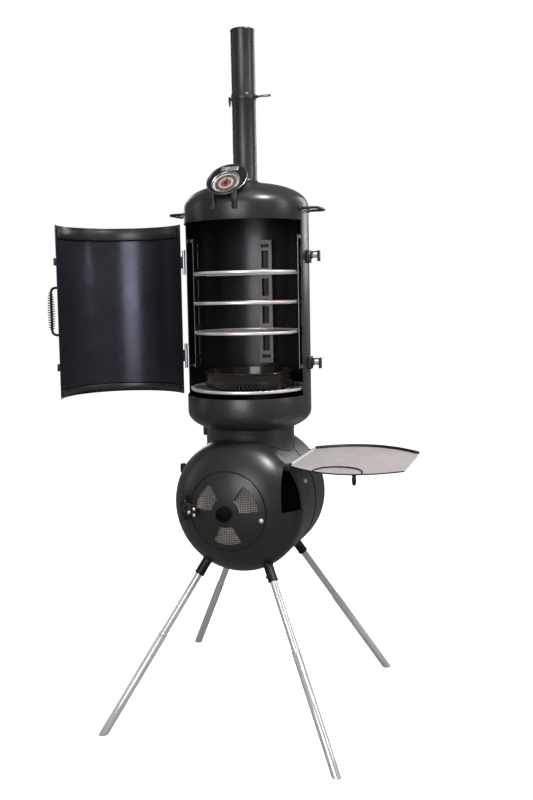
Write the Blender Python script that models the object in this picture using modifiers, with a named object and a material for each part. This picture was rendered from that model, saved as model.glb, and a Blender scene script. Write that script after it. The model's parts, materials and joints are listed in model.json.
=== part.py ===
"""Wood-fired portable smoker stove: a horizontal firebox barrel on four splayed legs, a vertical smoker drum
with a curved door on its collar, a flue with a damper, a dial thermometer and a fold-down side shelf.
Metres, +Z up, front towards -Y."""

import math

import bmesh
import bpy
from mathutils import Matrix, Vector

GAP = 0.0003

# Where the drum's axis stands: chosen so that the origin is the middle of the whole object's footprint.
AXIS_X = 0.038414
AXIS_Y = 0.0

# Firebox barrel, lying along Y
BARREL_R = 0.181
BARREL_STRAIGHT = 0.098
BARREL_DOME = 0.104
BARREL_Z = 0.585
BARREL_WALL = 0.003
SEAM_Y = 0.014
SEAM_STEP = 0.001
PORT_X = 0.140
PORT_REAR_Y = -0.110
PORT_TOP_Z = 0.697

# Round front door of the firebox
FRONT_HOLE_R = 0.1054
FRONT_DOOR_R = 0.1042
FRONT_STOP_R = 0.101
FRONT_HINGE = (-0.121, -0.184)
VENT_IN_R = 0.038
VENT_OUT_R = 0.086
VENT_HALF = math.radians(27)
VENT_ANGLES = tuple(math.radians(a) for a in (30, 150, 270))
VENT_DISC_R = 0.0885
SCREEN_R = 0.0912
SCREEN_PITCH, SCREEN_HOLE = 0.0260, 0.0220
FRONT_LATCH = (0.0945, 0.569)

# Collar between barrel and drum
COLLAR_R = 0.1255
COLLAR_TOP = 0.7843
SPIGOT_R = 0.1215
SPIGOT_Z = 0.755

# Smoker drum, standing on the collar
DRUM_R = 0.170
DRUM_WALL = 0.002
DRUM_LOW = 0.830
DRUM_HIGH = 1.375
DRUM_BASE_DEPTH = 0.062
DRUM_TOP_DEPTH = 0.068
DOME_POWER = 2.2
OPEN_LOW, OPEN_HIGH = 0.874, 1.336
HANDLE_INNER_X, HANDLE_OUTER_X, HANDLE_HALF, HANDLE_Z = 0.1665, 0.212, 0.042, 1.366
OPEN_LEFT, OPEN_RIGHT = math.radians(-78.5), math.radians(78)

# Cabinet door
DOOR_IN_R = 0.1710
DOOR_SHEET = 0.002
DOOR_LOW, DOOR_HIGH = 0.870, 1.341
DOOR_LEFT, DOOR_RIGHT = math.radians(-77.5), math.radians(80.5)
DOOR_HINGE_R = 0.178
DOOR_HINGE_AZ = math.radians(-80.5)
DOOR_REST = math.radians(-148)
LIP_INSET = 0.003
LIP_LOW, LIP_HIGH = 0.016, 0.026
HINGE_SPANS = ((1.202, 1.270), (0.943, 1.011))
LATCH_Z = (1.242, 0.957)
LATCH_X, LATCH_END = 0.179, 0.2065
LATCH_KNUCKLE_R, LATCH_BARREL_R, LATCH_BAR_Z = 0.0075, 0.0048, 0.0135
POST_R, POST_END = 0.0030, 0.1840
CATCH_AZ = math.radians(82)
HANDLE_AZ = math.radians(68)
HANDLE_LOW, HANDLE_HIGH = 1.043, 1.173
GRIP_END_R, GRIP_SWELL = 0.0085, 0.0040

# Inside the drum
RACK_R = 0.148
RACK_SHEET = 0.004
RACK_Z = (1.2010, 1.1210, 1.0410)
GRATE_R = 0.160
GRATE_Z = 0.8865
LADDER_R = 0.1505
LADDER_AZ = (-90, 90, 180)
LADDER_LOW, LADDER_HIGH = 0.944, 1.300
LADDER_SHEET, LADDER_HALF = 0.0020, 0.0205
LADDER_STAND_OFF, LADDER_FOOT = 0.1655, 0.009
SHELF_LEVELS = (0.9587, 1.0387, 1.1187, 1.1987, 1.2787)
NOTCH_HALF, NOTCH_HEIGHT = 0.0125, 0.009
WINDOW_HALF, WINDOW_ABOVE, WINDOW_BELOW = 0.0105, 0.020, 0.009
LUG_HALF, LUG_REACH = 0.008, 0.004
PAN_R = 0.126
PAN_HEIGHT = 0.046

# Flue and damper
FLUE_R = 0.0324
FLUE_BORE = 0.029
FLUE_BASE = 1.4436
DAMPER_Z = 1.672
BEAD_HALF = 0.008
FLUE_TOP = 1.850
UPPER_BORE = 0.0308
SPIGOT_TOP_R, BEAD_R, FLANGE_R = 0.0302, 0.0345, 0.0440

# Thermometer
DIAL_CENTRE = Vector((0.002, -0.139, 1.437))
DIAL_TILT = math.radians(50)
CASE_R = 0.056
DIAL_R = 0.0355
DIAL_DROP = 0.012

# Legs
SOCKET_LENGTH = 0.060
LEG_TOP = Vector((0.104, 0.135, 0.398))
FOOT = Vector((0.314, 0.312, 0.0))
SOCKET_R = 0.013
LEG_UPPER_R = 0.0095
LEG_LOWER_R = 0.011
LEG_STEP = 0.38
LUG_RISE = math.radians(27)

# Side shelf
SHELF_HINGE = (0.149, 0.700)
SHELF_START, SHELF_END = 0.153, 0.444
SHELF_HALF_IN, SHELF_HALF_MID, SHELF_HALF_OUT = 0.122, 0.187, 0.114
SHELF_SHEET = 0.002
SHELF_RIM_R = 0.0025
ARCH_X = 0.290
ARCH_R = 0.062
ARCH_INSET = 0.012
ARCH_HALF, ARCH_HEIGHT = 0.0022, 0.0035
PEG_X = 0.333

FINE, MEDIUM, COARSE = 36, 20, 12

for old in list(bpy.data.objects):
    bpy.data.objects.remove(old)

scene = bpy.context.scene
parts = bpy.data.collections.new("wood_fired_smoker")
cutters = bpy.data.collections.new("cutters")
scene.collection.children.link(parts)
scene.collection.children.link(cutters)


def material(name, colour, roughness, metallic):
    mat = bpy.data.materials.new(name)
    mat.use_nodes = True
    shader = mat.node_tree.nodes["Principled BSDF"]
    shader.inputs["Base Color"].default_value = (*colour, 1)
    shader.inputs["Roughness"].default_value = roughness
    shader.inputs["Metallic"].default_value = metallic
    return mat


BLACK = ((0.045, 0.044, 0.045), 0.42, 0.1)
DARK = ((0.02, 0.02, 0.02), 0.5, 0.0)
CHROME = ((0.72, 0.72, 0.73), 0.15, 1.0)
STEEL = ((0.55, 0.53, 0.52), 0.35, 1.0)

root = bpy.data.objects.new("frame_root", None)
root.location = (AXIS_X, AXIS_Y, 0)
parts.objects.link(root)


def joint_frame(name, at, turn=0.0, under=None):
    """An empty on a joint's axis, measured from the drum's axis. Everything in that body hangs under it."""
    under = under or root
    empty = bpy.data.objects.new(name, None)
    parts.objects.link(empty)
    empty.parent = under
    empty["base"] = list(at)
    empty.location = Vector(at) - Vector(under.get("base", (0, 0, 0)))
    empty.rotation_euler = (0, 0, turn)
    return empty


def polar(radius, azimuth, z=0.0):
    """A point at this azimuth, measured from the front (-Y) towards +X."""
    return Vector((radius * math.sin(azimuth), -radius * math.cos(azimuth), z))


HINGE_POINT = polar(DOOR_HINGE_R, DOOR_HINGE_AZ)
smoker = joint_frame("smoker_frame", (0, 0, COLLAR_TOP))
door = joint_frame("cabinet_door_frame", HINGE_POINT, DOOR_REST, smoker)
latch_frames = [joint_frame(f"latch_frame_{i}", (LATCH_X, 0, z), 0, smoker) for i, z in enumerate(LATCH_Z)]
damper = joint_frame("damper_frame", (0, 0, DAMPER_Z), 0, smoker)
flue_top = joint_frame("flue_top_frame", (0, 0, DAMPER_Z + BEAD_HALF), 0, smoker)
front_door = joint_frame("front_door_frame", (*FRONT_HINGE, BARREL_Z))
vent = joint_frame("vent_frame", (0, -0.200, BARREL_Z), 0, front_door)
front_latch = joint_frame("front_latch_frame", (FRONT_LATCH[0], -0.190, FRONT_LATCH[1]), 0, front_door)
shelf = joint_frame("shelf_frame", (SHELF_HINGE[0], 0, SHELF_HINGE[1]))


def add(name, data, body, look, at=(0, 0, 0), turn=(0, 0, 0)):
    """Links a finished shape as one named part of a body, with its own material."""
    obj = bpy.data.objects.new(name, data)
    parts.objects.link(obj)
    place(obj, body, at, turn)
    obj.data.materials.append(material(name, *look))
    return obj


def place(obj, body, at, turn):
    obj.parent = body
    obj.location = Vector(at) - Vector(body.get("base", (0, 0, 0)))
    obj.rotation_euler = turn


def helper(name, data, body, at=(0, 0, 0), turn=(0, 0, 0)):
    obj = bpy.data.objects.new(name, data)
    cutters.objects.link(obj)
    place(obj, body, at, turn)
    obj.hide_render = True
    obj.display_type = "WIRE"
    return obj


def boolean(obj, other, operation="DIFFERENCE"):
    modifier = obj.modifiers.new(operation.lower(), "BOOLEAN")
    modifier.operation = operation
    modifier.solver = "EXACT"
    modifier.object = other
    return modifier


def finished(bm, name, smooth=True):
    bmesh.ops.recalc_face_normals(bm, faces=bm.faces)
    mesh = bpy.data.meshes.new(name)
    bm.to_mesh(mesh)
    bm.free()
    if smooth:
        mesh.shade_smooth()
        mesh.set_sharp_from_angle(angle=math.radians(40))
    return mesh


def boxes(name, spans):
    """One mesh of boxes, each ((x0, x1), (y0, y1), (z0, z1))."""
    bm = bmesh.new()
    for span in spans:
        low, high = (Vector(s[i] for s in span) for i in (0, 1))
        middle = Matrix.Translation((low + high) / 2) @ Matrix.Diagonal((*(high - low), 1))
        bmesh.ops.create_cube(bm, size=1, matrix=middle)
    return finished(bm, name, False)


def rod(name, start, end, radius, end_radius=None, segments=COARSE):
    start, end = Vector(start), Vector(end)
    bm = bmesh.new()
    turn = (end - start).to_track_quat("Z", "Y").to_matrix().to_4x4()
    bmesh.ops.create_cone(
        bm, cap_ends=True, segments=segments, radius1=radius, radius2=end_radius or radius,
        depth=(end - start).length, matrix=Matrix.Translation((start + end) / 2) @ turn,
    )
    return finished(bm, name)


def plate(name, outline, low, high):
    """A flat outline in X and Y, between two heights."""
    bm = bmesh.new()
    face = bm.faces.new([bm.verts.new((x, y, low)) for x, y in outline])
    raised = bmesh.ops.extrude_face_region(bm, geom=[face])["geom"]
    bmesh.ops.translate(bm, vec=(0, 0, high - low),
                        verts=[v for v in raised if isinstance(v, bmesh.types.BMVert)])
    return finished(bm, name)


def profile_mesh(name, points):
    """A closed loop of (radius, height), turned so that its outer side runs from top to bottom."""
    area = sum(a[0] * b[1] - b[0] * a[1] for a, b in zip(points, points[1:] + points[:1]))
    points = points[::-1] if area > 0 else points
    mesh = bpy.data.meshes.new(name)
    on_axis = [i for i, p in enumerate(points) if p[0] == 0]
    if len(on_axis) == 2:
        start = next(i for i in on_axis if (i - 1) % len(points) in on_axis)
        points = points[start:] + points[:start]
        edges = [(i, i + 1) for i in range(len(points) - 1)]
    else:
        edges = [(i, (i + 1) % len(points)) for i in range(len(points))]
    mesh.from_pydata([(r, 0, z) for r, z in points], edges, [])
    return mesh


def turned(obj, steps):
    screw = obj.modifiers.new("turn", "SCREW")
    screw.steps = screw.render_steps = steps
    screw.use_merge_vertices = True
    screw.merge_threshold = 0.00005
    screw.use_smooth_shade = True
    return obj


def wire(name, points, radius, closed=False, sides=2):
    curve = bpy.data.curves.new(name, "CURVE")
    curve.dimensions = "3D"
    curve.bevel_depth = radius
    curve.bevel_resolution = sides
    curve.use_fill_caps = True
    line = curve.splines.new("POLY")
    line.points.add(len(points) - 1)
    for point, at in zip(line.points, points):
        point.co = (*at, 1)
    line.use_cyclic_u = closed
    return curve


def rounded_path(corners, radius, steps=5):
    """The corner points of a bent rod, with each inner corner rounded."""
    corners = [Vector(c) for c in corners]
    path = [corners[0]]
    for before, here, after in zip(corners, corners[1:], corners[2:]):
        a, b = here + (before - here).normalized() * radius, here + (after - here).normalized() * radius
        for i in range(steps + 1):
            t = i / steps
            path.append(a * (1 - t) ** 2 + here * 2 * t * (1 - t) + b * t**2)
    return path + [corners[-1]]


def arc(radius, start, end, steps):
    return [(radius * math.sin(start + (end - start) * i / steps),
             -radius * math.cos(start + (end - start) * i / steps))
            for i in range(steps + 1)]


def curved_band(name, inner, outer, start, end, low, high, steps):
    """A piece of a vertical cylinder's wall between two azimuths."""
    return plate(name, arc(outer, start, end, steps) + arc(inner, end, start, steps), low, high)


def shifted(mesh, offset):
    mesh.transform(Matrix.Translation(-Vector(offset)))
    return mesh


def in_body(name, mesh, body, look):
    """A part whose mesh is given in the stove's own frame, with its origin put on its body's joint axis."""
    base = Vector(body.get("base", (0, 0, 0)))
    return add(name, shifted(mesh, base), body, look, base)


def cutter_in(name, mesh, body):
    base = Vector(body.get("base", (0, 0, 0)))
    return helper(name, shifted(mesh, base), body, base)


def dome_front(radius, inset):
    """How far the barrel's dome reaches from its middle, at this radius, on a skin set in by `inset`."""
    return BARREL_STRAIGHT + (BARREL_DOME - inset) * math.sqrt(1 - (radius / (BARREL_R - inset)) ** 2)


def barrel_skin(inset, rear_extra=0.0, start=None, steps=6):
    """(radius, forward) from the front opening round to the back pole."""
    start = math.asin(start / (BARREL_R - inset)) if start else 0.0
    front = [start + (math.pi / 2 - start) * i / steps for i in range(steps + 1)]
    skin = [((BARREL_R - inset) * math.sin(t),
             BARREL_STRAIGHT + (BARREL_DOME - inset) * math.cos(t)) for t in front]
    skin += [(BARREL_R - inset, -SEAM_Y), (BARREL_R - inset + rear_extra, -SEAM_Y - 0.001)]
    for i in range(steps + 1):
        t = math.pi / 2 * i / steps
        radius = (BARREL_R - inset + rear_extra) * math.cos(t)
        skin.append((radius if i < steps else 0.0, -BARREL_STRAIGHT - (BARREL_DOME - inset) * math.sin(t)))
    return skin


FACE_FRONT = (math.pi / 2, 0, 0)
BARREL_AT = (0, 0, BARREL_Z)


def build_barrel():
    outer = barrel_skin(0, SEAM_STEP, FRONT_HOLE_R)
    inner = barrel_skin(BARREL_WALL, SEAM_STEP, 0.113)
    stop_face = dome_front(FRONT_DOOR_R, BARREL_WALL) - 0.0022
    flange = [(FRONT_HOLE_R, stop_face), (FRONT_STOP_R, stop_face), (FRONT_STOP_R, stop_face - BARREL_WALL)]
    loop = outer + inner[::-1] + flange[::-1]
    shell = turned(add("barrel_shell", profile_mesh("barrel_shell", loop), root, BLACK, BARREL_AT,
                       FACE_FRONT), FINE)
    boolean(shell, helper("cut_barrel_top", rod("cut_barrel_top", (0, 0, 0.65), (0, 0, 0.80), 0.1225, None,
                                                FINE), root))
    port = boxes("cut_port", [((PORT_X, 0.25), (-0.25, PORT_REAR_Y), (BARREL_Z, PORT_TOP_Z))])
    boolean(shell, helper("cut_port", port, root))


def barrel_blank(name):
    """The barrel as a solid a little larger than it is, for trimming what is welded to it."""
    skin = barrel_skin(0, SEAM_STEP, FRONT_HOLE_R)
    skin = [(r + GAP if r else r, z + math.copysign(GAP, z)) for r, z in skin]
    skin.insert(0, (0.0, skin[0][1]))
    return turned(helper(name, profile_mesh(name, skin), root, BARREL_AT, FACE_FRONT), FINE)


def build_collar(blank):
    inner = COLLAR_R - 0.0025
    ring = [(COLLAR_R, COLLAR_TOP), (COLLAR_R, 0.700), (inner, 0.700), (inner, COLLAR_TOP)]
    collar = turned(add("collar_ring", profile_mesh("collar_ring", ring), root, BLACK), FINE)
    boolean(collar, blank)
    lug = tangent_box(math.radians(-72), COLLAR_R - 0.001, COLLAR_R + 0.008, 0.005, 0.757, 0.783)
    boolean(collar, cutter_in("collar_lug", lug, root), "UNION")


def build_fire_grate():
    rows = [i * 0.026 for i in range(-4, 5)]
    slots = [((-0.115, 0.115), (y - 0.005, y + 0.005), (0.48, 0.52)) for y in rows]
    grate = add("fire_grate", boxes("fire_grate", [((-0.138, 0.138), (-0.126, 0.126), (0.497, 0.503))]),
                root, DARK)
    boolean(grate, helper("cut_fire_grate", boxes("cut_fire_grate", slots), root))


def mirrored(point, sx, sy):
    return Vector((point.x * sx, point.y * sy, point.z))


def build_legs(blank):
    floor = helper("cut_floor", boxes("cut_floor", [((-0.5, 0.5), (-0.5, 0.5), (-0.1, 0.0))]), root)
    for tag, sx, sy in (("fl", -1, -1), ("fr", 1, -1), ("rl", -1, 1), ("rr", 1, 1)):
        top, foot = mirrored(LEG_TOP, sx, sy), mirrored(FOOT, sx, sy)
        down = (foot - top).normalized()
        inner = top - down * SOCKET_LENGTH
        socket = add(f"leg_socket_{tag}", rod(f"leg_socket_{tag}", inner, top + down * 0.004, SOCKET_R),
                     root, DARK)
        hole = rod(f"cut_socket_{tag}", top - down * 0.022, top + down * 0.02, LEG_UPPER_R + GAP)
        boolean(socket, blank)
        boolean(socket, helper(f"cut_socket_{tag}", hole, root))
        step = top + (foot - top) * LEG_STEP
        upper = rod(f"leg_upper_{tag}", top - down * 0.0217, step + down * 0.05, LEG_UPPER_R)
        add(f"leg_upper_{tag}", upper, root, CHROME)
        lower = rod(f"leg_lower_{tag}", step, foot + down * 0.03, LEG_LOWER_R)
        lower = add(f"leg_lower_{tag}", lower, root, CHROME)
        bore = rod(f"cut_leg_{tag}", step - down * 0.01, step + down * 0.06, LEG_UPPER_R + GAP)
        boolean(lower, helper(f"cut_leg_{tag}", bore, root))
        boolean(lower, floor)


def build_carry_lug(blank):
    out = Vector((-math.cos(LUG_RISE), 0, math.sin(LUG_RISE)))
    middle = Vector((0, -0.085, BARREL_Z)) + out * (BARREL_R + 0.008)
    block = boxes("carry_lug", [((-0.012, 0.012), (-0.007, 0.007), (-0.014, 0.014))])
    boolean(add("carry_lug", block, root, DARK, middle), blank)


def sector(name, half, low, high):
    """Three wedge windows about the barrel's axis, as one cutter."""
    bm = bmesh.new()
    for centre in VENT_ANGLES:
        angles = [centre + half * (i / 4 - 1) for i in range(9)]
        outline = [(VENT_OUT_R * math.cos(a), VENT_OUT_R * math.sin(a)) for a in angles]
        outline += [(VENT_IN_R * math.cos(a), VENT_IN_R * math.sin(a)) for a in angles[::-1]]
        face = bm.faces.new([bm.verts.new((x, y, low)) for x, y in outline])
        raised = bmesh.ops.extrude_face_region(bm, geom=[face])["geom"]
        bmesh.ops.translate(bm, vec=(0, 0, high - low),
                            verts=[v for v in raised if isinstance(v, bmesh.types.BMVert)])
    return finished(bm, name, False)


def dome_sheet(start, end, inset, thickness, steps=4):
    """A closed profile that follows the barrel's front dome between two radii."""
    radii = [start + (end - start) * i / steps for i in range(steps + 1)]
    outer = [(r, dome_front(r, inset)) for r in radii]
    return outer + [(r, dome_front(r, inset + thickness)) for r in radii[::-1]]


def build_front_door(blank):
    panel = profile_mesh("front_door_panel", dome_sheet(0.005, FRONT_DOOR_R, 0, BARREL_WALL))
    panel = turned(add("front_door_panel", panel, front_door, BLACK, BARREL_AT, FACE_FRONT), FINE)
    boolean(panel, helper("cut_vents", sector("cut_vents", VENT_HALF, 0.15, 0.25), front_door, BARREL_AT,
                          FACE_FRONT))
    x, z = FRONT_LATCH
    shaft_hole = rod("cut_latch_hole", (x, -0.21, z), (x, -0.16, z), 0.0028)
    boolean(panel, cutter_in("cut_latch_hole", shaft_hole, front_door))
    screen_z = dome_front(SCREEN_R, BARREL_WALL) - 0.0010
    wall = SCREEN_R - 0.0012
    cup = [(0.0045, screen_z - 0.0040), (wall, screen_z - 0.0040), (wall, screen_z),
           (SCREEN_R, screen_z), (SCREEN_R, screen_z - 0.0052), (0.0045, screen_z - 0.0052)]
    screen = add("spark_screen", profile_mesh("spark_screen", cup), front_door, STEEL, BARREL_AT, FACE_FRONT)
    turned(screen, MEDIUM)
    pitch, hole = SCREEN_PITCH, SCREEN_HOLE / 2
    holes = [((i * pitch - hole, i * pitch + hole), (j * pitch - hole, j * pitch + hole), (0.16, 0.20))
             for i in range(-3, 4) for j in range(-3, 4)
             if 0.015 < math.hypot(i, j) * pitch < SCREEN_R - 0.012]
    boolean(screen, helper("cut_screen", boxes("cut_screen", holes), front_door, BARREL_AT, FACE_FRONT))
    build_front_hinge()
    disc = profile_mesh("vent_disc", dome_sheet(0.0042, VENT_DISC_R, 0.0042, 0.0012))
    disc = turned(add("vent_disc", disc, vent, STEEL, BARREL_AT, FACE_FRONT), MEDIUM)
    windows = sector("cut_vent_disc", VENT_HALF, 0.15, 0.25)
    boolean(disc, helper("cut_vent_disc", windows, vent, BARREL_AT, FACE_FRONT))
    face = dome_front(0, 0)
    knob = [(0, face + 0.024), (0.013, face + 0.023), (0.019, face + 0.018), (0.020, face + 0.006),
            (0.016, face + 0.001), (0.0038, face + 0.001), (0.0038, face - 0.010), (0, face - 0.010)]
    turned(add("vent_knob", profile_mesh("vent_knob", knob), vent, DARK, BARREL_AT, FACE_FRONT), MEDIUM)
    head = -dome_front(math.hypot(x, z - BARREL_Z), 0) - 0.0030
    latch = in_body("front_latch", rod("front_latch", (x, head - 0.005, z), (x, head, z), 0.0062),
                    front_latch, CHROME)
    spindle = rod("latch_spindle", (x, head - 0.004, z), (x, -0.1690, z), 0.0024)
    cam = boxes("latch_cam", [((x - 0.022, x + 0.004), (-0.1715, -0.1690), (z - 0.005, z + 0.005))])
    boolean(latch, cutter_in("latch_spindle", spindle, front_latch), "UNION")
    boolean(latch, cutter_in("latch_cam", cam, front_latch), "UNION")


def build_hinge(name, axis, span, frame_body, leaf_body, frame_leaf, door_leaf, radius=0.0045):
    """A knuckle hinge on a vertical axis: the frame has two knuckles and a pin, the leaf the middle one."""
    low, high = span
    third = (high - low) / 4
    x, y = axis
    frame = in_body(f"{name}_bracket", rod(name, (x, y, low), (x, y, low + third), radius), frame_body, DARK)
    for i, mesh in enumerate((rod("knuckle", (x, y, high - third), (x, y, high), radius), frame_leaf)):
        boolean(frame, cutter_in(f"{name}_frame_{i}", mesh, frame_body), "UNION")
    clearance = rod("clearance", (x, y, low + third), (x, y, high - third), radius + 0.0008)
    boolean(frame, cutter_in(f"{name}_clearance", clearance, frame_body))
    pin = rod("pin", (x, y, low + 0.001), (x, y, high - 0.001), radius * 0.45)
    boolean(frame, cutter_in(f"{name}_pin", pin, frame_body), "UNION")
    middle = rod(name, (x, y, low + third + GAP), (x, y, high - third - GAP), radius)
    leaf = in_body(f"{name}_leaf", middle, leaf_body, DARK)
    boolean(leaf, cutter_in(f"{name}_door_leaf", door_leaf, leaf_body), "UNION")
    bore = rod("bore", (x, y, low), (x, y, high), radius * 0.45 + 0.0002)
    boolean(leaf, cutter_in(f"{name}_bore", bore, leaf_body))


def tangent_box(azimuth, inner, outer, half_width, low, high):
    """A box on a cylinder's side, square to the radius at this azimuth."""
    mesh = boxes("leaf", [((-half_width, half_width), (-outer, -inner), (low, high))])
    mesh.transform(Matrix.Rotation(azimuth, 4, "Z"))
    return mesh


def build_front_hinge():
    x, y = FRONT_HINGE
    low, high = BARREL_Z - 0.035, BARREL_Z + 0.035
    frame_leaf = boxes("leaf", [((-0.010, 0.0), (-0.0035, 0.0005), (low, high))])
    frame_leaf.transform(Matrix.Translation((x, y, 0)) @ Matrix.Rotation(math.radians(-27), 4, "Z"))
    third = 0.0175
    door_leaf = boxes("leaf", [((0.0, 0.042), (-0.0030, -0.0003), (low + third + GAP, high - third - GAP))])
    door_leaf.transform(Matrix.Translation((x, y - 0.0006, 0)) @ Matrix.Rotation(math.radians(-21), 4, "Z"))
    build_hinge("front_hinge", (x, y), (low, high), root, front_door, frame_leaf, door_leaf)


def shelf_half(x):
    """Half the shelf's width at this distance from the drum's axis: its long edges bow outwards."""
    t = (x - SHELF_START) / (SHELF_END - SHELF_START)
    ends = SHELF_HALF_IN + (SHELF_HALF_OUT - SHELF_HALF_IN) * t
    return ends + (SHELF_HALF_MID - (SHELF_HALF_IN + SHELF_HALF_OUT) / 2) * (1 - (2 * t - 1) ** 2)


def shelf_rim_path(xs, z):
    """A wire along one long edge, round the outer end and back along the other, just clear of the sheet."""
    clear = SHELF_RIM_R + 2 * GAP
    edge = []
    for x in xs:
        slope = (shelf_half(x + 0.001) - shelf_half(x - 0.001)) / 0.002
        length = math.hypot(1, slope)
        edge.append((x - clear * slope / length, -shelf_half(x) - clear / length, z))
    edge.append((SHELF_END + clear, -SHELF_HALF_OUT + 0.001, z))
    return edge + [(x, -y, z) for x, y, z in edge[::-1]]


def build_shelf(blank):
    hinge_x, hinge_z = SHELF_HINGE
    top = hinge_z + 0.0012
    xs = [SHELF_START + (SHELF_END - SHELF_START) * i / 16 for i in range(17)]
    outline = [(x, -shelf_half(x)) for x in xs] + [(x, shelf_half(x)) for x in xs[::-1]]
    sheet = in_body("shelf_plate", plate("shelf_plate", outline, top - SHELF_SHEET, top), shelf, STEEL)
    tube = rod("shelf_tube", (hinge_x, -0.102, hinge_z), (hinge_x, 0.102, hinge_z), 0.0045)
    boolean(sheet, cutter_in("shelf_tube", tube, shelf), "UNION")
    bore = rod("cut_shelf_bore", (hinge_x, -0.11, hinge_z), (hinge_x, 0.11, hinge_z), 0.0023)
    boolean(sheet, cutter_in("cut_shelf_bore", bore, shelf))
    angles = [math.radians(8 + 164 * i / 16) for i in range(17)]
    arch = [(ARCH_X + r * math.cos(a), ARCH_INSET - shelf_half(ARCH_X) + r * math.sin(a))
            for r, turn in ((ARCH_R + ARCH_HALF, angles), (ARCH_R - ARCH_HALF, angles[::-1])) for a in turn]
    arch = plate("shelf_arch", arch, top - SHELF_SHEET / 2, top + ARCH_HEIGHT)
    boolean(sheet, cutter_in("shelf_arch", arch, shelf), "UNION")
    add_wire("shelf_rim", shelf_rim_path(xs, top - SHELF_SHEET / 2), SHELF_RIM_R, shelf, DARK)
    build_shelf_brackets(sheet, blank)
    peg_y = -shelf_half(PEG_X) + 0.006
    peg = rod("shelf_peg", (PEG_X, peg_y, top - SHELF_SHEET - GAP), (PEG_X, peg_y, top - 0.028), 0.0058,
              0.0040)
    in_body("shelf_peg", peg, shelf, DARK)


def build_shelf_brackets(sheet, blank):
    """Two ears welded to the barrel, whose stub pins carry the ends of the shelf's hinge tube."""
    hinge_x, hinge_z = SHELF_HINGE
    for tag, side in (("front", -1), ("rear", 1)):
        notch = boxes("notch", [((hinge_x - 0.01, hinge_x + 0.0065), sorted((side * 0.1022, side * 0.1122)),
                                 (hinge_z - 0.01, hinge_z + 0.01))])
        boolean(sheet, cutter_in(f"cut_notch_{tag}", notch, shelf))
        ear = boxes("ear",
                    [((0.118, hinge_x), sorted((side * 0.104, side * 0.110)),
                      (hinge_z - 0.018, hinge_z + 0.0045))])
        bracket = in_body(f"shelf_bracket_{tag}", ear, root, DARK)
        pin = rod("stub", (hinge_x, side * 0.096, hinge_z), (hinge_x, side * 0.109, hinge_z), 0.0020)
        knuckle = rod("eye", (hinge_x, side * 0.1035, hinge_z), (hinge_x, side * 0.1105, hinge_z), 0.0045)
        boolean(bracket, blank)
        boolean(bracket, cutter_in(f"stub_{tag}", pin, root), "UNION")
        boolean(bracket, cutter_in(f"eye_{tag}", knuckle, root), "UNION")


def add_wire(name, path, radius, body, look, closed=False):
    base = Vector(body.get("base", (0, 0, 0)))
    return add(name, wire(name, [Vector(p) - base for p in path], radius, closed), body, look, base)


def build_stay_bolt(blank):
    out = Vector((math.cos(math.radians(20)), 0, math.sin(math.radians(20))))
    start = Vector((0, -0.053, BARREL_Z)) + out * (BARREL_R - 0.004)
    boolean(in_body("stay_bolt", rod("stay_bolt", start, start + out * 0.012, 0.0055), root, CHROME), blank)


def drum_skin(inset, steps=6):
    """(radius, height) of the drum's skin from the flue hole down to the collar spigot."""
    radius, top, base = DRUM_R - inset, DRUM_TOP_DEPTH - inset, DRUM_BASE_DEPTH - inset
    power = 2 / DOME_POWER
    hole = math.asin((0.0330 / radius) ** (1 / power))
    skin = []
    for i in range(steps + 1):
        t = hole + (math.pi / 2 - hole) * i / steps
        skin.append((radius * math.sin(t) ** power, DRUM_HIGH + top * math.cos(t) ** power))
    neck = SPIGOT_R if inset == 0 else SPIGOT_R - DRUM_WALL
    end = math.acos((neck / radius) ** (1 / power))
    for i in range(steps + 1):
        t = end * i / steps
        skin.append((radius * math.cos(t) ** power, DRUM_LOW - base * math.sin(t) ** power))
    return skin + [(neck, SPIGOT_Z)]


def build_drum():
    loop = drum_skin(0) + drum_skin(DRUM_WALL)[::-1]
    base = smoker["base"]
    loop = [(r, z - base[2]) for r, z in loop]
    shell = turned(add("drum_shell", profile_mesh("drum_shell", loop), smoker, BLACK, base), FINE)
    wedge = [(0, 0)] + arc(0.3, OPEN_LEFT, OPEN_RIGHT, 8)
    boolean(shell, cutter_in("cut_doorway", plate("cut_doorway", wedge, OPEN_LOW, OPEN_HIGH), smoker))
    core = rod("core", (0, 0, OPEN_LOW), (0, 0, OPEN_HIGH), 0.15, None, FINE)
    boolean(shell, cutter_in("cut_doorway_core", core, smoker))
    for side, tag in ((-1, "left"), (1, "right")):
        ends = [(HANDLE_INNER_X, -1), (HANDLE_OUTER_X, -1), (HANDLE_OUTER_X, 1), (HANDLE_INNER_X, 1)]
        corners = [(side * x, turn * HANDLE_HALF, HANDLE_Z) for x, turn in ends]
        add_wire(f"drum_handle_{tag}", rounded_path(corners, 0.016), 0.0035, smoker, DARK)


def slotted_disc(name, radius, low, pitch, slot, lugs):
    """A round grille: a thin disc with straight slots, and three lugs that rest in the ladders."""
    rim = radius - 0.007
    count = int(rim / pitch)
    slots = []
    for i in range(-count, count + 1):
        reach = math.sqrt(max(rim**2 - (abs(i * pitch) + slot) ** 2, 0))
        if reach > 0.02:
            for side in (-1, 1):
                ends = sorted((side * 0.003, side * reach))
                slots.append(((i * pitch - slot, i * pitch + slot), ends, (low - 0.01, low + 0.02)))
    disc = in_body(name, rod(name, (0, 0, low), (0, 0, low + RACK_SHEET), radius, None, FINE), smoker,
                   CHROME)
    boolean(disc, cutter_in(f"cut_{name}", boxes(f"cut_{name}", slots), smoker))
    for i, azimuth in enumerate(lugs):
        lug = tangent_box(math.radians(azimuth), radius - 0.006, LADDER_R + LUG_REACH, LUG_HALF,
                          low + 0.0002, low + 0.0036)
        boolean(disc, cutter_in(f"lug_{name}_{i}", lug, smoker), "UNION")


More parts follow.
